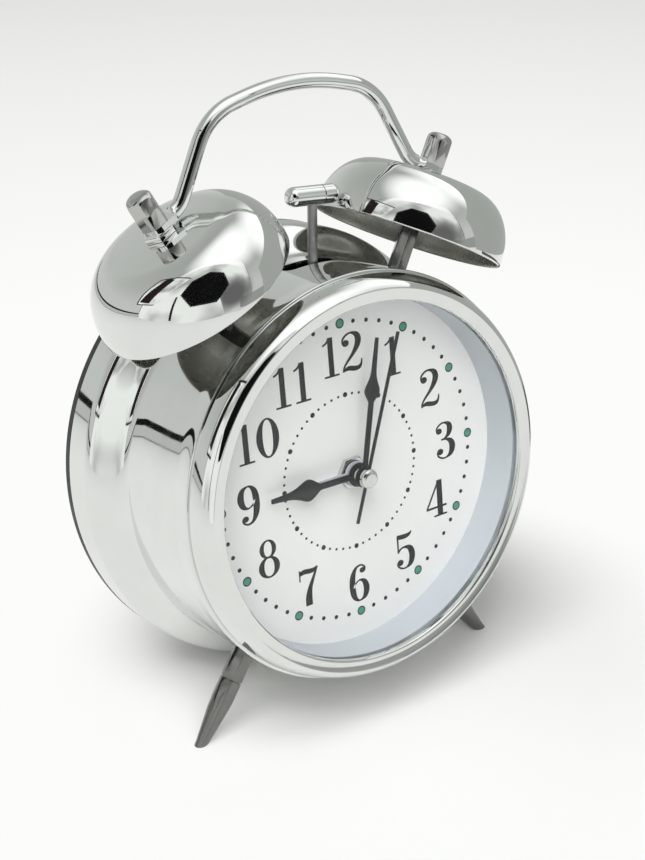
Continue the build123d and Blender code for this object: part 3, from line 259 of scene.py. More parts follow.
# Stamped hands in satin black lacquer: dark, with a soft sheen along the bent-over edges.
HAND_LACQUER = Finish("black_lacquer_on_brass_hands", "#151416", "#1F1E20", (0.34, 0.46), 2.0, 0.3, 0.0015)
# Grey lacquer on the alarm hand: pale and quiet against the dial.
GREY_LACQUER = Finish("grey_lacquer_on_brass_hand", "#C3C7CE", "#B5BAC2", (0.34, 0.45), 2.0, 0.3, 0.0015)
# Black moulded ABS with a spark-eroded grain: a grey sheen that breaks up close by.
BLACK_ABS = Finish("black_grained_abs", "#1D1D1F", "#29292B", (0.42, 0.6), 6.0, 0.45, 0.03, ior=1.53)
# Acetal wheels: waxy off-white.
ACETAL = Finish("natural_acetal", "#E9E6DA", "#DDD9CB", (0.3, 0.42), 3.0, 0.4, 0.002, ior=1.48)
# Turned brass: warm yellow with drawn-out lathe lines.
BRASS = Finish("turned_brass", "#CDAA61", "#B08F4B", (0.2, 0.33), 2.5, 0.3, 0.0012, metallic=1.0)
# Enamelled copper wire: reddish, with the turns as fine lines.
COPPER = Finish(
    "enamelled_copper_wire", "#A9582F", "#8C4523", (0.25, 0.4), 1.5, 0.2, 0.02,
    metallic=1.0, run=Grain.ALONG_X,
)
# Glass laminate with green solder mask: glossy over a faint weave.
LAMINATE = Finish("green_masked_laminate", "#2C6B3F", "#245A34", (0.25, 0.36), 4.0, 0.5, 0.004)
# Shrink sleeve of the cell: smooth glossy film, a little uneven.
SLEEVE = Finish("printed_shrink_sleeve", "#2F3A46", "#27313C", (0.22, 0.34), 5.0, 0.8, 0.004)


def deselect() -> None:
    """Leaves every object unselected and the scene in object mode."""
    if bpy.context.mode != "OBJECT":
        bpy.ops.object.mode_set(mode="OBJECT")
    bpy.ops.object.select_all(action="DESELECT")


def choose(piece: Piece) -> None:
    """Makes a piece the only selected one and the active one."""
    deselect()
    piece.select_set(True)
    bpy.context.view_layer.objects.active = piece


def last_made() -> Piece:
    """Gives the object that an operator has just made."""
    return bpy.context.view_layer.objects.active


def dress(piece: Piece, finish: Finish) -> None:
    """Gives a piece one finish and no other."""
    piece.data.materials.clear()
    piece.data.materials.append(finish.material())


def settle(piece: Piece, place: Matrix) -> None:
    """Puts a piece's place into its mesh, so that its object sits at the origin."""
    piece.data.transform(place @ piece.matrix_basis)
    piece.matrix_basis = Matrix.Identity(4)


def joined(pieces: Sequence[Piece], name: str) -> Piece:
    """Joins several meshes into one.

    Args:
        pieces: the meshes, of which the first one takes in the others.
        name: the joined mesh's name.

    Returns:
        The joined object.
    """
    choose(pieces[0])
    for piece in pieces[1:]:
        piece.select_set(True)
    if len(pieces) > 1:
        bpy.ops.object.join()
    pieces[0].name = name
    return pieces[0]


def copied(piece: Piece) -> Piece:
    """Copies a piece together with its mesh.

    Args:
        piece: what is copied.

    Returns:
        The linked copy.
    """
    twin = piece.copy()
    twin.data = piece.data.copy()
    bpy.context.scene.collection.objects.link(twin)
    return twin


@dataclass(frozen=True)
class Stance:
    """The clock's own axes, from its dial's centre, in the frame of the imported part."""

    centre_joint: str = "minute_hand_turn"

    def matrix(self) -> Matrix:
        """Reads the place and the lean of the hands' shaft.

        Returns:
            The matrix from the clock's own axes to the part's frame, in metres.
        """
        joint = next(j for j in frame["joints"] if j["name"] == self.centre_joint)
        lean = atan2(-joint["axis"][2], joint["axis"][1])
        return Matrix.Translation(joint["pos_m"]) @ Matrix.Rotation(-lean, 4, "X")


def turned(name: str, profile: Profile, steps: int) -> Piece:
    """Turns a closed profile round the Z axis, as on a lathe.

    Args:
        name: the piece's name.
        profile: radius and height of each point in millimetres, in order round the section.
        steps: how many faces there are round the axis.

    Returns:
        The turned mesh, its seam closed and its faces outward.
    """
    deselect()
    bpy.ops.mesh.primitive_plane_add(size=MM)
    piece = last_made()
    piece.name = name
    bpy.ops.object.mode_set(mode="EDIT")
    bpy.ops.mesh.select_all(action="SELECT")
    bpy.ops.mesh.merge(type="CENTER")
    bpy.ops.transform.translate(value=(profile[0][0] * MM, 0, profile[0][1] * MM))
    ring = [*profile, profile[0]]
    for (r0, z0), (r1, z1) in zip(ring, ring[1:]):
        step = ((r1 - r0) * MM, 0, (z1 - z0) * MM)
        bpy.ops.mesh.extrude_region_move(TRANSFORM_OT_translate={"value": step})
    bpy.ops.mesh.select_all(action="SELECT")
    bpy.ops.mesh.remove_doubles(threshold=SAME_PLACE)
    bpy.ops.mesh.spin(steps=steps, angle=2 * pi, center=(0, 0, 0), axis=(0, 0, 1))
    bpy.ops.mesh.select_all(action="SELECT")
    bpy.ops.mesh.remove_doubles(threshold=SAME_PLACE)
    bpy.ops.mesh.normals_make_consistent(inside=False)
    bpy.ops.object.mode_set(mode="OBJECT")
    bpy.ops.object.shade_smooth_by_angle(angle=SMOOTH_ANGLE)
    return piece


@dataclass
class Bells:
    """The two plated domes, bright outside and dull inside.

    Sizes are in millimetres, and heights run along the bell's own axis.
    """

    stance: Matrix
    depth: float = 12.5
    tilt: float = 28.4
    offset: float = 3.3
    rim: float = 62.5
    band: float = 1.6
    radius: float = 25.6
    dome: float = 15.2
    crown: float = 14.0
    crown_sag: float = 0.3
    crown_radii: tuple[float, ...] = (12.0, 9.5, 7.0, 4.5)
    hole: float = 1.6
    wall: float = 0.9
    rim_round: float = 0.45
    dome_steps: int = 30
    rim_steps: int = 10
    steps: int = 160

    def profile(self) -> Profile:
        """Draws the bell's section, from the rim over the dome to the hole and back inside.

        Returns:
            Radius and height of each point.
        """
        shoulder = self.rim + self.band
        quarter = [radians(90 * i / self.dome_steps) for i in range(self.dome_steps + 1)]
        middle = self.radius - self.wall / 2
        lip = [pi + pi * i / self.rim_steps for i in range(self.rim_steps + 1)]
        rim = [
            (middle + self.rim_round * cos(t), self.rim + self.rim_round + self.rim_round * sin(t))
            for t in lip
        ]
        rise = self.dome - self.crown_sag
        reach = self.radius - self.crown
        outer = [(self.crown + reach * cos(t), shoulder + rise * sin(t)) for t in quarter]
        top = [
            (r, shoulder + self.dome - self.crown_sag * (r / self.crown) ** 2)
            for r in (*self.crown_radii, self.hole)
        ]
        inner = [
            (self.crown + (reach - self.wall) * cos(t), shoulder + (rise - self.wall) * sin(t))
            for t in reversed(quarter)
        ]
        return [*rim, *outer, *top, (self.hole, shoulder + rise - self.wall), *inner]

    def place(self, side: Side) -> Matrix:
        """Finds where a bell's own axis stands.

        Args:
            side: the side that the bell is on.

        Returns:
            The matrix from the bell's axis to the part's frame.
        """
        return (
            self.stance
            @ Matrix.Translation((0, self.depth * MM, 0))
            @ Matrix.Rotation(radians(self.tilt) * side.value, 4, "Y")
            @ Matrix.Translation((self.offset * MM * side.value, 0, 0))
        )

    def plate(self, bell: Piece) -> None:
        """Plates the outside of a bell and leaves its inside dull.

        Args:
            bell: the turned bell, which still stands on the Z axis.
        """
        for finish in (CHROME, DULL_NICKEL):
            bell.data.materials.append(finish.material())
        heart = Vector((0, 0, self.rim * MM))
        for face in bell.data.polygons:
            if face.normal.dot(face.center - heart) < 0:
                face.material_index = 1

    def build(self) -> list[Piece]:
        """Turns one bell and copies it to both sides.

        Returns:
            The left and the right bell.
        """
        first = turned("bell_right_dome", self.profile(), self.steps)
        self.plate(first)
        second = copied(first)
        second.name = "bell_left_dome"
        for bell, side in ((first, Side.RIGHT), (second, Side.LEFT)):
            settle(bell, self.place(side))
            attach(bell, "clock")
            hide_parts(f"{side.name.lower()}_bell")
        return [second, first]


@dataclass
class Drum:
    """The plated drum and its front ring, turned fine enough to mirror a room.

    Sizes are in millimetres, and depths are from the dial. A bow is three points of radius and depth.
    """

    stance: Matrix
    bells: Bells
    barrel: float = 53.2
    band: float = 59.8
    wall: float = 0.8
    mouth: float = -7.0
    rear: float = 40.2
    shoulder: Point = (21.0, 32.4)
    flare: float = 0.3
    flare_depth: float = 6.0
    ring_flank: Bow = ((52.9, -7.0), (51.93, -11.03), (50.1, -13.3))
    ring_brow: Bow = ((50.1, -13.3), (49.7, -13.5), (49.3, -13.4))
    ring_lip: Bow = ((47.2, -13.1), (46.7, -12.9), (46.5, -12.4))
    ring_seat: tuple[Point, ...] = ((46.5, -11.8), (50.8, -11.8), (50.8, -4.0), (52.3, -4.0), (52.3, -7.0))
    slot: Point = (15.0, 5.4)
    slot_cut: float = 8.0
    slot_corners: int = 48
    foot_depth: float = 9.0
    foot_tilt: float = 143.6
    stud: float = 1.6
    stud_cut: float = 12.0
    stud_corners: int = 32
    lip_steps: int = 6
    flare_steps: int = 14
    plain_steps: int = 5
    shoulder_steps: int = 30
    inside_stride: int = 5
    flank_steps: int = 18
    round_steps: int = 8
    steps: int = 220

    @staticmethod
    def eased(t: float) -> float:
        """Rises smoothly from nothing to one."""
        return t * t * (3 - 2 * t)

    @staticmethod
    def bow(ends: Bow, count: int) -> Profile:
        """Curves from one point over a second to a third.

        Args:
            ends: the three points.
            count: how many short runs the curve has.

        Returns:
            The curve's points, the first and the last one with them.
        """
        path = []
        for i in range(count + 1):
            t = i / count
            shares = ((1 - t) * (1 - 2 * t), 4 * t * (1 - t), t * (2 * t - 1))
            path.append(tuple(sum(s * p for s, p in zip(shares, along)) for along in zip(*ends)))
        return path

    def drum_profile(self) -> Profile:
        """Draws the drum's section, from its rolled mouth over the shoulder to the rear, and back inside.

        Returns:
            Radius and depth of each point.
        """
        front = self.mouth + self.flare
        start, end = self.shoulder
        plain = front + self.flare_depth
        roll = [radians(90 * i / self.lip_steps - 90) for i in range(self.lip_steps + 1)]
        lip = [(self.barrel + self.flare * cos(t), front + self.flare * sin(t)) for t in roll]
        shares = [i / self.flare_steps for i in range(1, self.flare_steps + 1)]
        mouth = [
            (self.barrel + self.flare * (1 - self.eased(t)), front + self.flare_depth * t) for t in shares
        ]
        shares = [i / self.plain_steps for i in range(1, self.plain_steps + 1)]
        middle = [(self.barrel, plain + (start - plain) * t) for t in shares]
        shares = [i / self.shoulder_steps for i in range(1, self.shoulder_steps + 1)]
        step = self.band - self.barrel
        rise = [(self.barrel + step * self.eased(t), start + (end - start) * t) for t in shares]
        back = [(self.band, self.rear - self.flare), (self.band - self.flare, self.rear)]
        inside = [(self.barrel, self.mouth), (self.barrel, start), *rise[:: self.inside_stride]]
        inside += [(self.band, end), (self.band, self.rear)]
        return [*lip, *mouth, *middle, *rise, *back, *((r - self.wall, y) for r, y in reversed(inside))]

    def ring_profile(self) -> Profile:
        """Draws the front ring's section: rounded flank, brow, dished face, lip and spigot.

        Returns:
            Radius and depth of each point.
        """
        flank = self.bow(self.ring_flank, self.flank_steps)
        brow = self.bow(self.ring_brow, self.round_steps)
        lip = self.bow(self.ring_lip, self.round_steps)
        return [*flank, *brow[1:], *lip, *self.ring_seat]

    def cutters(self) -> Piece:
        """Makes the solids that cut the hammer's slot and the four stud holes.

        Returns:
            All of them as one mesh, in the clock's own axes.
        """
        length, width = self.slot
        deselect()
        size = {"vertices": self.slot_corners, "radius": width / 2 * MM, "depth": self.slot_cut * MM}
        bpy.ops.mesh.primitive_cylinder_add(**size)
        slot = last_made()
        for vertex in slot.data.vertices:
            vertex.co.x += copysign((length - width) / 2 * MM, vertex.co.x)
        slot.data.transform(Matrix.Translation((0, self.bells.depth * MM, self.barrel * MM)))
        tools = [slot]
        bells = self.bells
        places = [(bells.depth, bells.tilt * side.value, bells.offset * side.value) for side in Side]
        places += [(self.foot_depth, self.foot_tilt * side.value, 0.0) for side in Side]
        size = {"vertices": self.stud_corners, "radius": self.stud * MM, "depth": self.stud_cut * MM}
        for depth, tilt, offset in places:
            deselect()
            bpy.ops.mesh.primitive_cylinder_add(**size)
            tool = last_made()
            tool.data.transform(
                Matrix.Translation((0, depth * MM, 0))
                @ Matrix.Rotation(radians(tilt), 4, "Y")
                @ Matrix.Translation((offset * MM, 0, self.barrel * MM))
            )
            tools.append(tool)
        return joined(tools, "drum_cutters")

    def build(self) -> list[Piece]:
        """Turns the drum and the front ring, and cuts the drum's openings.

        Returns:
            The drum and the ring.
        """
        drum = turned("drum_plated", self.drum_profile(), self.steps)
        ring = turned("front_ring_plated", self.ring_profile(), self.steps)
        for piece in (drum, ring):
            settle(piece, Z_TO_DEPTH)
        tools = self.cutters()
        choose(drum)
        cut = drum.modifiers.new("openings", "BOOLEAN")
        cut.operation = "DIFFERENCE"
        cut.solver = "EXACT"
        cut.object = tools
        bpy.ops.object.modifier_apply(modifier=cut.name)
        bpy.ops.object.shade_smooth_by_angle(angle=SMOOTH_ANGLE)
        bpy.data.objects.remove(tools)
        for piece, node in ((drum, "case_shell"), (ring, "bezel_ring")):
            settle(piece, self.stance)
            dress(piece, CHROME)
            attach(piece, "clock")
            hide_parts(node)
        return [drum, ring]


@dataclass
class EasedSolids:
    """Bars, nuts, hands and mouldings with their sharp edges eased. Millimetres and degrees."""

    turn: float = 32.0
    flat: float = 0.5
    weld: float = 0.002

    def ease(self, node: str, width: float) -> Piece:
        """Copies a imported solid, merges it and breaks its edges.

        Args:
            node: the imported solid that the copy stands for.
            width: how wide the broken edge is.

        Returns:
            The eased copy, in the finish of its solid.
        """
        solid = frame["nodes"][node]
        piece = copied(solid)
        piece.parent = None
        piece.name = f"{node}_eased"
        for key in list(piece.keys()):
            del piece[key]
        choose(piece)
        bpy.ops.mesh.customdata_custom_splitnormals_clear()
        bpy.ops.object.mode_set(mode="EDIT")
        bpy.ops.mesh.select_all(action="SELECT")
        bpy.ops.mesh.remove_doubles(threshold=self.weld * MM)
        bpy.ops.mesh.dissolve_limited(angle_limit=radians(self.flat))
        bpy.ops.object.mode_set(mode="OBJECT")
        edge = piece.modifiers.new("eased_edge", "BEVEL")
        edge.limit_method = "ANGLE"
        edge.angle_limit = radians(self.turn)
        edge.width = width * MM
        edge.segments = 2
        bpy.ops.object.modifier_apply(modifier=edge.name)
        bpy.ops.object.shade_smooth_by_angle(angle=radians(self.turn))
        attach(piece, solid["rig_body"])
        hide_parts(node)
        return piece

    def build(self) -> list[Piece]:
        """Eases every chosen solid.

        Returns:
            The eased pieces.
        """
        chosen = {
            "cap_nuts": (0.14, "nickel"),
            "collar_nuts": (0.12, "chrome"),
            "left_bell_post": (0.1, "nickel"),
            "right_bell_post": (0.1, "nickel"),
            "left_foot": (0.1, "chrome"),
            "right_foot": (0.1, "chrome"),
            "centre_nut": (0.1, "nickel"),
            "hammer_arm": (0.12, "steel"),
            "hour_hand": (0.1, "hand_black"),
            "minute_hand": (0.1, "hand_black"),
            "second_hand": (0.08, "hand_black"),
            "alarm_hand": (0.08, "hand_grey"),
            "time_knob": (0.12, "black_plastic"),
            "alarm_knob": (0.12, "black_plastic"),
            "alarm_switch": (0.2, "black_plastic"),
            "battery_door": (0.2, "black_plastic"),
            "cover_screws": (0.08, "steel"),
        }
        pieces = []
        for node, (width, slot) in chosen.items():
            piece = self.ease(node, width)
            pieces.append(piece)
        return pieces


@dataclass
class DialPrint:
    """What is printed on the dial: the numbers and two rings of dots. Sizes in millimetres."""

    stance: Matrix
    number_height: float = 10.4
    number_ring: float = 31.5
    digit_width: float = 0.54
    digit_gap: float = 0.04
    stretch: float = 1.2
    film: float = 0.012
    stroke_lift: float = 0.25
    hour_ring: float = 39.5
    hour_dot: float = 1.3
    hour_rim: float = 0.34
    minute_dot: float = 0.58
    inner_ring: float = 20.8
    inner_hour_dot: float = 0.68
    inner_dot: float = 0.36
    dot_corners: int = 28
    dot_ease: float = 0.6
    strokes: dict[str, list[Stroke]] = field(default_factory=dict)

    def __post_init__(self) -> None:
        """Draws the ten digits as pen strokes: x, y and width, in parts of the digit's height."""
        six = [
            [(0.44, 0.8, 0.03), (0.43, 0.9, 0.045), (0.33, 0.972, 0.05), (0.2, 0.92, 0.075),
             (0.112, 0.72, 0.14), (0.088, 0.44, 0.155), (0.115, 0.19, 0.135), (0.19, 0.055, 0.075),
             (0.28, 0.024, 0.048), (0.4, 0.1, 0.12), (0.452, 0.3, 0.155), (0.405, 0.5, 0.12),
             (0.29, 0.575, 0.048), (0.18, 0.51, 0.04), (0.13, 0.4, 0.04)],
            self.ball(0.375, 0.825, 0.075),
        ]
        self.strokes = {
            "0": [self.ring((0.275, 0.5), (0.195, 0.4775), (0.152, 0.046))],
            "1": [
                [(0.28, 0.0, 0.155), (0.28, 0.5, 0.155), (0.28, 0.992, 0.155)],
                [(0.05, 0.82, 0.05), (0.16, 0.87, 0.055), (0.26, 0.965, 0.07)],
                [(0.06, 0.024, 0.048), (0.28, 0.024, 0.05), (0.5, 0.024, 0.048)],
            ],
            "2": [
                [(0.052, 0.73, 0.03), (0.066, 0.85, 0.05), (0.16, 0.945, 0.055), (0.28, 0.972, 0.056),
                 (0.41, 0.9, 0.13), (0.448, 0.76, 0.155), (0.4, 0.6, 0.135), (0.28, 0.42, 0.085),
                 (0.14, 0.26, 0.06), (0.06, 0.14, 0.05), (0.04, 0.03, 0.05)],
                [(0.04, 0.06, 0.05), (0.17, 0.1, 0.115), (0.32, 0.062, 0.122), (0.43, 0.07, 0.105),
                 (0.492, 0.15, 0.055), (0.51, 0.27, 0.03)],
                self.ball(0.13, 0.74, 0.085),
            ],
            "3": [
                [(0.05, 0.78, 0.03), (0.072, 0.88, 0.045), (0.17, 0.96, 0.05), (0.27, 0.975, 0.05),
                 (0.39, 0.91, 0.12), (0.418, 0.78, 0.148), (0.375, 0.64, 0.115), (0.27, 0.55, 0.05),
                 (0.17, 0.53, 0.045)],
                [(0.17, 0.53, 0.045), (0.3, 0.52, 0.055), (0.425, 0.44, 0.135), (0.468, 0.28, 0.165),
                 (0.415, 0.11, 0.13), (0.29, 0.026, 0.05), (0.17, 0.034, 0.05), (0.072, 0.11, 0.045),
                 (0.046, 0.22, 0.03)],
                self.ball(0.122, 0.775, 0.08),
                self.ball(0.127, 0.215, 0.085),
            ],
            "4": [
                [(0.38, 0.0, 0.15), (0.38, 0.5, 0.15), (0.38, 1.0, 0.15)],
                [(0.36, 0.985, 0.05), (0.19, 0.63, 0.05), (0.02, 0.28, 0.05)],
                [(0.0, 0.262, 0.06), (0.28, 0.262, 0.06), (0.56, 0.262, 0.06)],
                [(0.2, 0.024, 0.048), (0.38, 0.024, 0.05), (0.56, 0.024, 0.048)],
            ],
            "5": [
                [(0.09, 0.97, 0.045), (0.09, 0.75, 0.045), (0.09, 0.48, 0.045)],
                [(0.07, 0.93, 0.11), (0.2, 0.905, 0.13), (0.34, 0.905, 0.12), (0.43, 0.945, 0.07),
                 (0.46, 1.0, 0.03)],
                [(0.085, 0.49, 0.04), (0.15, 0.575, 0.05), (0.26, 0.605, 0.06), (0.405, 0.54, 0.135),
                 (0.458, 0.33, 0.16), (0.405, 0.115, 0.13), (0.28, 0.026, 0.05), (0.16, 0.04, 0.05),
                 (0.07, 0.12, 0.042), (0.046, 0.21, 0.03)],
                self.ball(0.127, 0.205, 0.085),
            ],
            "6": six,
            "7": [
                [(0.05, 1.0, 0.035), (0.05, 0.86, 0.035), (0.046, 0.7, 0.035)],
                [(0.05, 0.89, 0.1), (0.16, 0.93, 0.13), (0.33, 0.905, 0.125), (0.44, 0.925, 0.1),
                 (0.5, 0.98, 0.05)],
                [(0.487, 0.96, 0.05), (0.38, 0.7, 0.075), (0.285, 0.46, 0.115), (0.238, 0.22, 0.165),
                 (0.235, 0.0, 0.17)],
            ],
            "8": [
                self.ring((0.27, 0.755), (0.148, 0.221), (0.105, 0.046)),
                self.ring((0.27, 0.282), (0.188, 0.258), (0.135, 0.048)),
            ],
            "9": [[(self.digit_width - x, 1 - y, w) for x, y, w in stroke] for stroke in six],
        }

    @staticmethod
    def ring(middle: Point, half: Point, pens: Point, runs: int = 24) -> Stroke:
        """Draws an upright oval whose sides are bold and whose ends are fine.

        Args:
            middle: where its middle is.
            half: half its width and half its height.
            pens: the pen's width at its sides and at its ends.
            runs: how many short runs there are round it.

        Returns:
            A closed stroke, its first point repeated at its end.
        """
        (x, y), (across, up), (bold, fine) = middle, half, pens
        stroke = []
        for i in range(runs + 1):
            t = 2 * pi * i / runs
            pen = fine + (bold - fine) * cos(t) ** 2
            stroke.append((x + across * cos(t), y + up * sin(t), pen))
        return stroke

    @staticmethod
    def ball(x: float, y: float, radius: float, runs: int = 12, tip: float = 0.02) -> Stroke:
        """Draws the round end of a stroke, as a short stroke whose width swells to a circle."""
        turns = [pi * i / runs for i in range(runs + 1)]
        return [(x - radius * cos(t), y, 2 * radius * max(sin(t), tip)) for t in turns]

    @staticmethod
    def smooth(stroke: Stroke, steps: int = 7) -> list[Vector]:
        """Rounds a stroke through its points.

        Args:
            stroke: points of x, y and width.
            steps: how many short runs there are from point to point.

        Returns:
            The points of the rounded stroke.
        """
        points = [Vector(p) for p in stroke]
        closed = (points[0].xy - points[-1].xy).length < SAME_PLACE
        before = points[-2] if closed else points[0]
        after = points[1] if closed else points[-1]
        row = [before, *points, after]
        path = []
        for a, b, c, d in zip(row, row[1:], row[2:], row[3:]):
            for i in range(steps):
                t = i / steps
                square, cube = 2 * a - 5 * b + 4 * c - d, 3 * b - a - 3 * c + d
                path.append((2 * b + (c - a) * t + square * t**2 + cube * t**3) / 2)
        return [*path, points[-1]]

    def pen(self, stroke: Stroke, height: float) -> Piece:
        """Lays one stroke down as a flat curve and makes it a mesh.

        Args:
            stroke: points of x, y and width, in parts of the digit's height.
            height: how far the film stands off the dial, in millimetres.

        Returns:
            The stroke's mesh, flat in X and Y.
        """
        path = self.smooth(stroke)
        sides: tuple[list[Vector], list[Vector]] = ([], [])
        for i, point in enumerate(path):
            ahead = path[min(i + 1, len(path) - 1)] - path[max(i - 1, 0)]
            across = Vector((-ahead.y, ahead.x)).normalized() * point.z / 2
            sides[0].append(point.xy + across)
            sides[1].append(point.xy - across)
        closed = (path[0].xy - path[-1].xy).length < SAME_PLACE
        loops = [sides[0][:-1], sides[1][:-1]] if closed else [sides[0] + sides[1][::-1]]
        curve = bpy.data.curves.new("stroke", "CURVE")
        curve.dimensions = "2D"
        curve.fill_mode = "BOTH"
        curve.extrude = self.film * MM / 2
        size = self.number_height * MM
        for loop in loops:
            spline = curve.splines.new("POLY")
            spline.points.add(len(loop) - 1)
            for target, point in zip(spline.points, loop):
                target.co = (point.x * size, point.y * size, 0, 1)
            spline.use_cyclic_u = True
        laid = bpy.data.objects.new("stroke", curve)
        bpy.context.scene.collection.objects.link(laid)
        choose(laid)
        bpy.ops.object.convert(target="MESH")
        laid = last_made()
        laid.data.transform(Matrix.Translation((0, 0, height * MM)))
        return laid

    def number(self, hour: int) -> Piece:
        """Prints one upright number at its hour.

        Args:
            hour: one to twelve.

        Returns:
            The number's mesh, flat in X and Y.
        """
        digits = str(hour)
        widths = [self.digit_width * (1.0 if digit == "1" else self.stretch) for digit in digits]
        left = -(sum(widths) + self.digit_gap * (len(digits) - 1)) / 2
        strokes = []
        for digit, width in zip(digits, widths):
            shift = Matrix.Translation((left * self.number_height * MM, -self.number_height * MM / 2, 0))
            widen = Matrix.Scale(width / self.digit_width, 4, (1, 0, 0))
            for stroke in self.strokes[digit]:
                laid = self.pen(stroke, self.film * (1 + self.stroke_lift * len(strokes)))
                laid.data.transform(shift @ widen)
                strokes.append(laid)
            left += width + self.digit_gap
        printed = joined(strokes, f"number_{hour}")
        printed.data.transform(self.spot(self.number_ring, 5 * hour))
        return printed

    @staticmethod
    def spot(ring: float, minute: int) -> Matrix:
        """Finds the place of a minute on a ring of the dial."""
        turn = radians(6 * minute)
        return Matrix.Translation((ring * MM * sin(turn), ring * MM * cos(turn), 0))

    def dot(self, radius: float, layer: int) -> Piece:
        """Lays one round dot of ink, its edge eased.

        Args:
            radius: the dot's radius in millimetres.
            layer: one for ink on the dial, two for ink on ink.

        Returns:
            The dot's mesh at the origin, flat in X and Y.
        """
        deselect()
        bpy.ops.mesh.primitive_cylinder_add(
            vertices=self.dot_corners,
            radius=radius * MM,
            depth=self.film * 2 * MM,
            location=(0, 0, self.film * layer * MM),
        )
        laid = last_made()
        choose(laid)
        edge = laid.modifiers.new("eased_edge", "BEVEL")
        edge.width = self.film * MM * self.dot_ease
        edge.segments = 1
        bpy.ops.object.modifier_apply(modifier=edge.name)
        settle(laid, Matrix.Identity(4))
        return laid

    def dot_ring(
        self, name: str, ring: float, radius: float, minutes: Iterable[int], ink: Finish, layer: int = 1
    ) -> Piece:
        """Prints dots round the dial.

        Args:
            name: the piece's name.
            ring: the radius of the ring in millimetres.
            radius: the radius of a dot.
            minutes: the minutes that get a dot.
            ink: the dots' finish.
            layer: one for ink on the dial, two for ink on ink.

        Returns:
            All the dots as one mesh.
        """
        first = self.dot(radius, layer)
        dress(first, ink)
        dots = []
        for minute in minutes:
            twin = copied(first)
            twin.data.transform(self.spot(ring, minute))
            dots.append(twin)
        bpy.data.objects.remove(first)
        return joined(dots, name)

    def build(self) -> list[Piece]:
        """Prints the dial.

        Returns:
            The printed pieces, which ride on the clock.
        """
        numbers = joined([self.number(hour) for hour in range(1, 13)], "dial_numbers")
        dress(numbers, DARK_INK)
        hours = range(0, 60, 5)
        others = [minute for minute in range(60) if minute % 5]
        centre = self.hour_dot - self.hour_rim
        pieces = [
            numbers,
            self.dot_ring("hour_dots", self.hour_ring, self.hour_dot, hours, DARK_INK),
            self.dot_ring("hour_dot_centres", self.hour_ring, centre, hours, GREEN_INK, 2),
            self.dot_ring("minute_dots", self.hour_ring, self.minute_dot, others, DARK_INK),
            self.dot_ring("inner_hour_dots", self.inner_ring, self.inner_hour_dot, hours, DARK_INK),
            self.dot_ring("inner_minute_dots", self.inner_ring, self.inner_dot, others, DARK_INK),
        ]
        for piece in pieces:
            settle(piece, self.stance @ FLAT_TO_FRONT)
            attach(piece, "clock")
        return pieces


@dataclass(frozen=True)
class Sheet:
    """A flat card or cloth of the studio, in metres.

    The place is that of its middle, and the aim is the height above the floor that it faces. A blunt
    sheet has its corners cut off.
    """

    name: str
    place: Place
    width: float
    height: float
    aim: float = 0.1
    blunt: bool = False


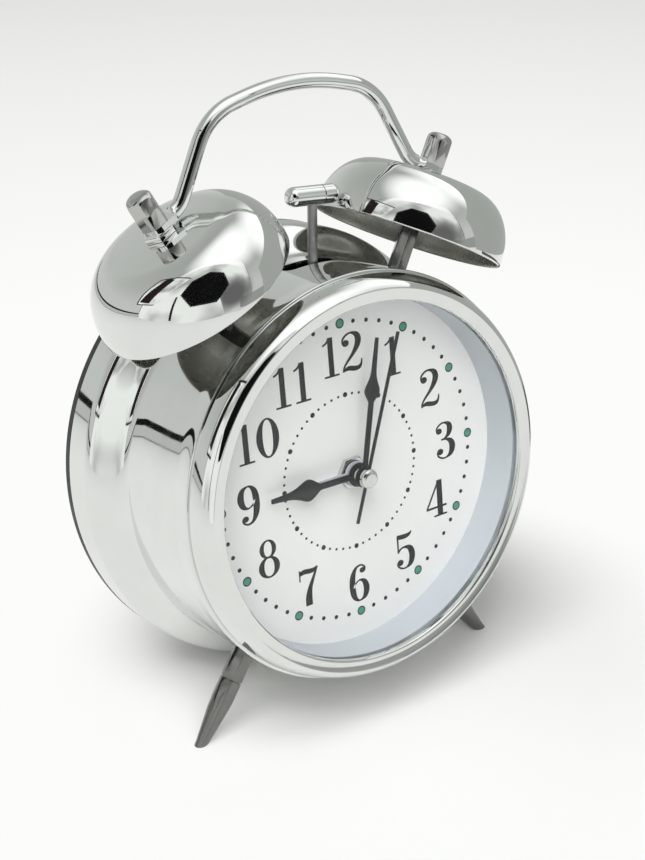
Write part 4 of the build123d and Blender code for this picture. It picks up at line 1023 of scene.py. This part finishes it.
@dataclass
class Studio:
    """Floor, room, lamps, the cards and cloths that the plating mirrors, and the camera.

    Lengths are in metres. The camera's place alone is in the clock's own axes and in millimetres.
    """

    stance: Matrix
    floor_size: float = 3.0
    floor_corners: int = 96
    shade: Place = (0.02, -0.015, 0.0)
    shade_fade: Point = (0.045, 0.105)
    # Away from the clock the floor glows instead of taking light, and this glow covers any shadow there.
    # Over the run below, the glow darkens from the near colour to the far one, as painted shade for light
    # falling off with distance.
    floor_run: Point = (0.3, 1.3)
    floor_colour: str = "#F7F7F5"
    near_colour: str = "#FCFCFA"
    far_colour: str = "#D6D7D5"
    room_light: float = 0.13
    wall_greys: tuple[tuple[float, str], ...] = (
        (0.0, "#D8DAD7"),
        (0.2, "#D6D8D5"),
        (0.5, "#C2C5C1"),
        (1.0, "#B0B3AF"),
    )
    lamp_aim: float = 0.07
    blunt_corners: int = 7
    fold_noise: Point = (0.38, 0.56)
    fold_light: Point = (0.55, 1.25)
    glow_edge: Point = (0.5, 0.15)
    eye: Place = (-221.603, -312.140, 145.776)
    right: Place = (0.807038, -0.585481, -0.076824)
    down: Place = (-0.253166, -0.225525, -0.940768)
    ahead: Place = (0.533477, 0.778685, -0.330231)
    lens: float = 66.68
    sensor: float = 36.0

    @staticmethod
    def looked_at(tree: bpy.types.NodeTree) -> Feed:
        """Tells rays that see a thing, directly, mirrored or through the window, from rays that light it.

        Args:
            tree: the tree that asks.

        Returns:
            One for a ray that sees, nothing for one that lights.
        """
        rays = add_node(tree, "ShaderNodeLightPath").outputs
        seen = rays["Is Camera Ray"]
        for kind in ("Is Glossy Ray", "Is Transmission Ray"):
            pair = {0: seen, 1: rays[kind]}
            seen = add_node(tree, "ShaderNodeMath", {"operation": "MAXIMUM"}, pair)
        return seen

    @staticmethod
    def facing(place: Place, height: float, front: str) -> Euler:
        """Turns a thing's front to the clock, at a height above the floor."""
        return (Vector((0, 0, height)) - Vector(place)).to_track_quat(front, "Y").to_euler()

    def floor(self) -> None:
        """Lays a pale floor that keeps the clock's shadow near it, and beyond that glows in a tone that
        darkens with distance as painted shade.
        """
        deselect()
        bpy.ops.mesh.primitive_circle_add(
            vertices=self.floor_corners, radius=self.floor_size, fill_type="NGON"
        )
        floor = last_made()
        floor.name = "studio_floor"
        made = blank_material("matt_white_paper")
        tree = made.node_tree
        place = add_node(tree, "ShaderNodeTexCoord").outputs["Object"]
        middle = {"operation": "SUBTRACT", 1: self.shade}
        place = add_node(tree, "ShaderNodeVectorMath", middle, {0: place})
        reach = add_node(tree, "ShaderNodeVectorMath", {"operation": "LENGTH"}, {0: place}).outputs["Value"]
        start, end = self.shade_fade
        change = {"interpolation_type": "SMOOTHSTEP", "From Min": start, "From Max": end}
        fade = add_node(tree, "ShaderNodeMapRange", change, {"Value": reach})
        # The glow darkens with distance: painted shade, standing in for light falling off.
        start, end = self.floor_run
        change = {"From Min": start, "From Max": end}
        away = add_node(tree, "ShaderNodeMapRange", change, {"Value": reach})
        tones = {"data_type": "RGBA", 6: linear(self.near_colour), 7: linear(self.far_colour)}
        shaded_glow = add_node(tree, "ShaderNodeMix", tones, {"Factor": away}).outputs[2]
        pair = {0: self.looked_at(tree), 1: fade}
        share = add_node(tree, "ShaderNodeMath", {"operation": "MULTIPLY"}, pair)
        matt = {"Base Color": linear(self.floor_colour), "Roughness": 0.7}
        paper = add_node(tree, "ShaderNodeBsdfPrincipled", matt)
        glow = add_node(tree, "ShaderNodeEmission", {"Strength": 1.0}, {"Color": shaded_glow})
        both = add_node(tree, "ShaderNodeMixShader", None, {0: share, 1: paper, 2: glow})
        add_node(tree, "ShaderNodeOutputMaterial", None, {"Surface": both})
        floor.data.materials.append(made)

    def room(self) -> None:
        """Fills the room with soft light, and lets metal and window see its grey walls."""
        world = bpy.data.worlds.new("studio_room")
        world.use_nodes = True
        bpy.context.scene.world = world
        tree = world.node_tree
        tree.nodes.clear()
        way = add_node(tree, "ShaderNodeTexCoord").outputs["Generated"]
        height = add_node(tree, "ShaderNodeSeparateXYZ", None, {0: way}).outputs["Z"]
        grade = add_node(tree, "ShaderNodeValToRGB", None, {"Fac": height})
        stops = grade.color_ramp.elements
        while len(stops) < len(self.wall_greys):
            stops.new(0.5)
        for stop, (at, grey) in zip(stops, self.wall_greys):
            stop.position = at
            stop.color = linear(grey)
        light = {"Color": linear("#FFFFFF"), "Strength": self.room_light}
        soft = add_node(tree, "ShaderNodeBackground", light)
        walls = add_node(tree, "ShaderNodeBackground", None, {"Color": grade})
        both = add_node(tree, "ShaderNodeMixShader", None, {0: self.looked_at(tree), 1: soft, 2: walls})
        add_node(tree, "ShaderNodeOutputWorld", None, {"Surface": both})

    def lamp(self, name: str, place: Place, size: float, power: float) -> None:
        """Hangs one soft lamp that points at the clock's middle.

        Args:
            name: the lamp's name.
            place: where it hangs.
            size: the side of its square.
            power: its light in watts.
        """
        light = bpy.data.lights.new(name, "AREA")
        light.shape = "SQUARE"
        light.size = size
        light.energy = power
        hung = bpy.data.objects.new(name, light)
        hung.location = place
        hung.rotation_euler = self.facing(place, self.lamp_aim, "-Z")
        hung.visible_glossy = False
        bpy.context.scene.collection.objects.link(hung)

    def hang(self, sheet: Sheet) -> bpy.types.NodeTree:
        """Hangs a sheet out of view, for the plating to mirror and nothing else.

        Args:
            sheet: its place and size.

        Returns:
            The tree of its material, still empty.
        """
        deselect()
        if sheet.blunt:
            bpy.ops.mesh.primitive_circle_add(
                vertices=self.blunt_corners, radius=0.5, fill_type="NGON", location=sheet.place
            )
        else:
            bpy.ops.mesh.primitive_plane_add(size=1.0, location=sheet.place)
        hung = last_made()
        hung.name = sheet.name
        hung.scale = (sheet.width, sheet.height, 1)
        hung.rotation_euler = self.facing(sheet.place, sheet.aim, "Z")
        hung.visible_camera = False
        hung.visible_diffuse = False
        hung.visible_shadow = False
        hung.visible_transmission = False
        made = blank_material(sheet.name)
        hung.data.materials.append(made)
        return made.node_tree

    def card(self, sheet: Sheet, colour: str) -> None:
        """Hangs a plain card.

        Args:
            sheet: its place and size.
            colour: its one even colour.
        """
        tree = self.hang(sheet)
        even = add_node(tree, "ShaderNodeEmission", {"Color": linear(colour), "Strength": 1.0})
        add_node(tree, "ShaderNodeOutputMaterial", None, {"Surface": even})

    def panel(self, sheet: Sheet, hem: float) -> None:
        """Hangs a bright mottled cloth with a dark hem.

        Args:
            sheet: its place and size.
            hem: the hem's width as a share of the cloth's.
        """
        tree = self.hang(sheet)
        spot = add_node(tree, "ShaderNodeTexCoord").outputs["Object"]
        noise = {"Scale": 3.0, "Detail": 2.0}
        folds = add_node(tree, "ShaderNodeTexNoise", noise, {"Vector": spot}).outputs["Fac"]
        (least, most), (dim, bright) = self.fold_noise, self.fold_light
        change = {"From Min": least, "From Max": most, "To Min": dim, "To Max": bright}
        light = add_node(tree, "ShaderNodeMapRange", change, {"Value": folds})
        aside = add_node(tree, "ShaderNodeVectorMath", {"operation": "ABSOLUTE"}, {0: spot})
        reach = add_node(tree, "ShaderNodeSeparateXYZ", None, {0: aside}).outputs
        pair = {0: reach["X"], 1: reach["Y"]}
        rim = add_node(tree, "ShaderNodeMath", {"operation": "MAXIMUM"}, pair)
        edge = {"operation": "LESS_THAN", 1: 0.5 - hem}
        inside = add_node(tree, "ShaderNodeMath", edge, {0: rim})
        level = add_node(tree, "ShaderNodeMath", {"operation": "MULTIPLY"}, {0: light, 1: inside})
        seen = add_node(tree, "ShaderNodeEmission", {"Color": linear("#EEF0ED")}, {"Strength": level})
        add_node(tree, "ShaderNodeOutputMaterial", None, {"Surface": seen})

    def glow(self, sheet: Sheet, power: float) -> None:
        """Hangs the bright cloth of a lamp, soft at its edges.

        Args:
            sheet: its place and size.
            power: how bright its middle is.
        """
        tree = self.hang(sheet)
        spot = add_node(tree, "ShaderNodeTexCoord").outputs["Object"]
        reach = add_node(tree, "ShaderNodeVectorMath", {"operation": "LENGTH"}, {0: spot}).outputs["Value"]
        rim, core = self.glow_edge
        change = {"interpolation_type": "SMOOTHSTEP", "From Min": rim, "From Max": core}
        share = add_node(tree, "ShaderNodeMapRange", change, {"Value": reach})
        clear = add_node(tree, "ShaderNodeBsdfTransparent")
        bright = add_node(tree, "ShaderNodeEmission", {"Strength": power})
        both = add_node(tree, "ShaderNodeMixShader", None, {0: share, 1: clear, 2: bright})
        add_node(tree, "ShaderNodeOutputMaterial", None, {"Surface": both})

    def camera(self) -> None:
        """Sets the camera where the photograph was taken."""
        data = bpy.data.cameras.new("photo_camera")
        data.sensor_fit = "AUTO"
        data.sensor_width = self.sensor
        data.lens = self.lens
        data.clip_start = 0.01
        camera = bpy.data.objects.new("photo_camera", data)
        bpy.context.scene.collection.objects.link(camera)
        axes = Matrix((self.right, [-v for v in self.down], [-v for v in self.ahead])).transposed().to_4x4()
        axes.translation = Vector(self.eye) * MM
        camera.matrix_world = self.stance @ axes
        bpy.context.scene.camera = camera

    def build(self) -> None:
        """Sets up the whole studio."""
        self.floor()
        self.room()
        self.lamp("overhead_lamp", (-0.42, -0.28, 1.05), 0.7, 9.4)
        self.lamp("front_lamp", (-0.45, -0.95, 0.85), 0.9, 7.6)
        self.glow(Sheet("overhead_cloth", (0.08, -0.25, 0.95), 1.8, 1.6), 1.4)
        self.glow(Sheet("right_cloth", (0.75, 0.1, 0.72), 1.5, 1.2), 1.4)
        self.glow(Sheet("grey_cloth", (0.03, -0.48, 0.2), 0.6, 0.5), 0.16)
        self.panel(Sheet("open_front", (-0.26, -0.38, 0.5), 1.9, 1.5, aim=0.5), 0.01)
        self.panel(Sheet("side_cloth", (-0.6, -0.1, 0.48), 0.7, 0.5), 0.035)
        self.card(Sheet("dark_card_front", (-0.2, -0.34, 0.37), 0.46, 0.46, aim=0.37, blunt=True), "#101011")
        self.card(Sheet("grey_card_front", (0.3, -0.6, 0.055), 0.55, 0.17, aim=0.055), "#A6A8A5")
        self.card(Sheet("brown_card_side", (-0.57, 0.08, 0.46), 0.14, 0.4), "#2B2321")
        self.card(Sheet("dark_card_side", (-0.46, -0.24, 0.18), 0.035, 0.3, aim=0.18), "#141415")
        self.card(Sheet("dark_strip_rear", (-0.42, 0.54, 0.095), 1.3, 0.026, aim=0.095), "#17181A")
        self.card(Sheet("grey_band_rear", (-0.42, 0.545, 0.062), 1.3, 0.044, aim=0.062), "#CBCDCA")
        self.card(Sheet("grey_line_rear", (-0.42, 0.543, 0.037), 1.3, 0.006, aim=0.037), "#7E807D")
        self.card(Sheet("grey_card_right", (0.32, 0.05, 0.14), 0.9, 0.42, aim=0.14), "#B3B6B2")
        self.card(Sheet("dark_strip_right", (0.17, 0.06, 0.022), 0.5, 0.04, aim=0.022), "#5E605E")
        self.camera()
        bpy.context.scene.view_settings.view_transform = "Standard"


@dataclass
class Nodes:
    """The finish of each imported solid, which its eased copy takes over."""

    def dress_all(self) -> None:
        """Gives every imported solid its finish."""
        table = {
            CHROME: ("case_shell", "bezel_ring", "handle", "collar_nuts", "hammer_head", "left_bell",
                     "right_bell"),
            # Feet and posts take a colour darkened as painted shade.
            SHADED_BAR_PLATE: ("left_foot", "right_foot", "left_bell_post", "right_bell_post"),
            NICKEL: ("cap_nuts",),
            BRIGHT_NICKEL: ("centre_nut", "hand_cap"),
            STEEL: ("hammer_arm", "hammer_pin", "striker_bracket", "bracket_screws", "motor_can",
                    "stepper_stator", "cover_screws", "battery_contacts", "post_nuts", "foot_nuts"),
            BRASS: ("motor_crank", "cannon_pinion", "second_arbor"),
            WINDOW: ("lens",),
            # The wall round the dial takes a grey that is painted shade.
            SHADED_WHITE_ABS: ("reflector_ring",),
            DIAL_LACQUER: ("dial",),
            HAND_LACQUER: ("hour_hand", "minute_hand", "second_hand"),
            GREY_LACQUER: ("alarm_hand",),
            BLACK_ABS: ("rear_cover", "battery_door", "movement_front", "movement_rear", "time_knob",
                        "alarm_knob", "alarm_switch", "switch_body"),
            ACETAL: ("motion_wheel", "hour_wheel", "alarm_wheel", "alarm_setting_pinion", "third_wheel",
                     "centre_wheel"),
            COPPER: ("stepper_coil",),
            LAMINATE: ("circuit_board",),
            SLEEVE: ("battery_cell",),
        }
        for finish, names in table.items():
            for name in names:
                dress(frame["nodes"][name], finish)
                LOG.info("%s: %s", name, finish.name)


def main() -> None:
    """Builds the looks piece by piece and reports each one."""
    logging.basicConfig(level=logging.INFO, format="%(name)s %(message)s")
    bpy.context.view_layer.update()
    stance = Stance().matrix()
    Nodes().dress_all()
    bells = Bells(stance)
    pieces = [
        *Drum(stance, bells).build(),
        *bells.build(),
        *EasedSolids().build(),
        *DialPrint(stance).build(),
    ]
    for piece in pieces:
        LOG.info("%s: %d faces", piece.name, len(piece.data.polygons))
    Studio(stance).build()


if __name__ == "__main__":
    main()
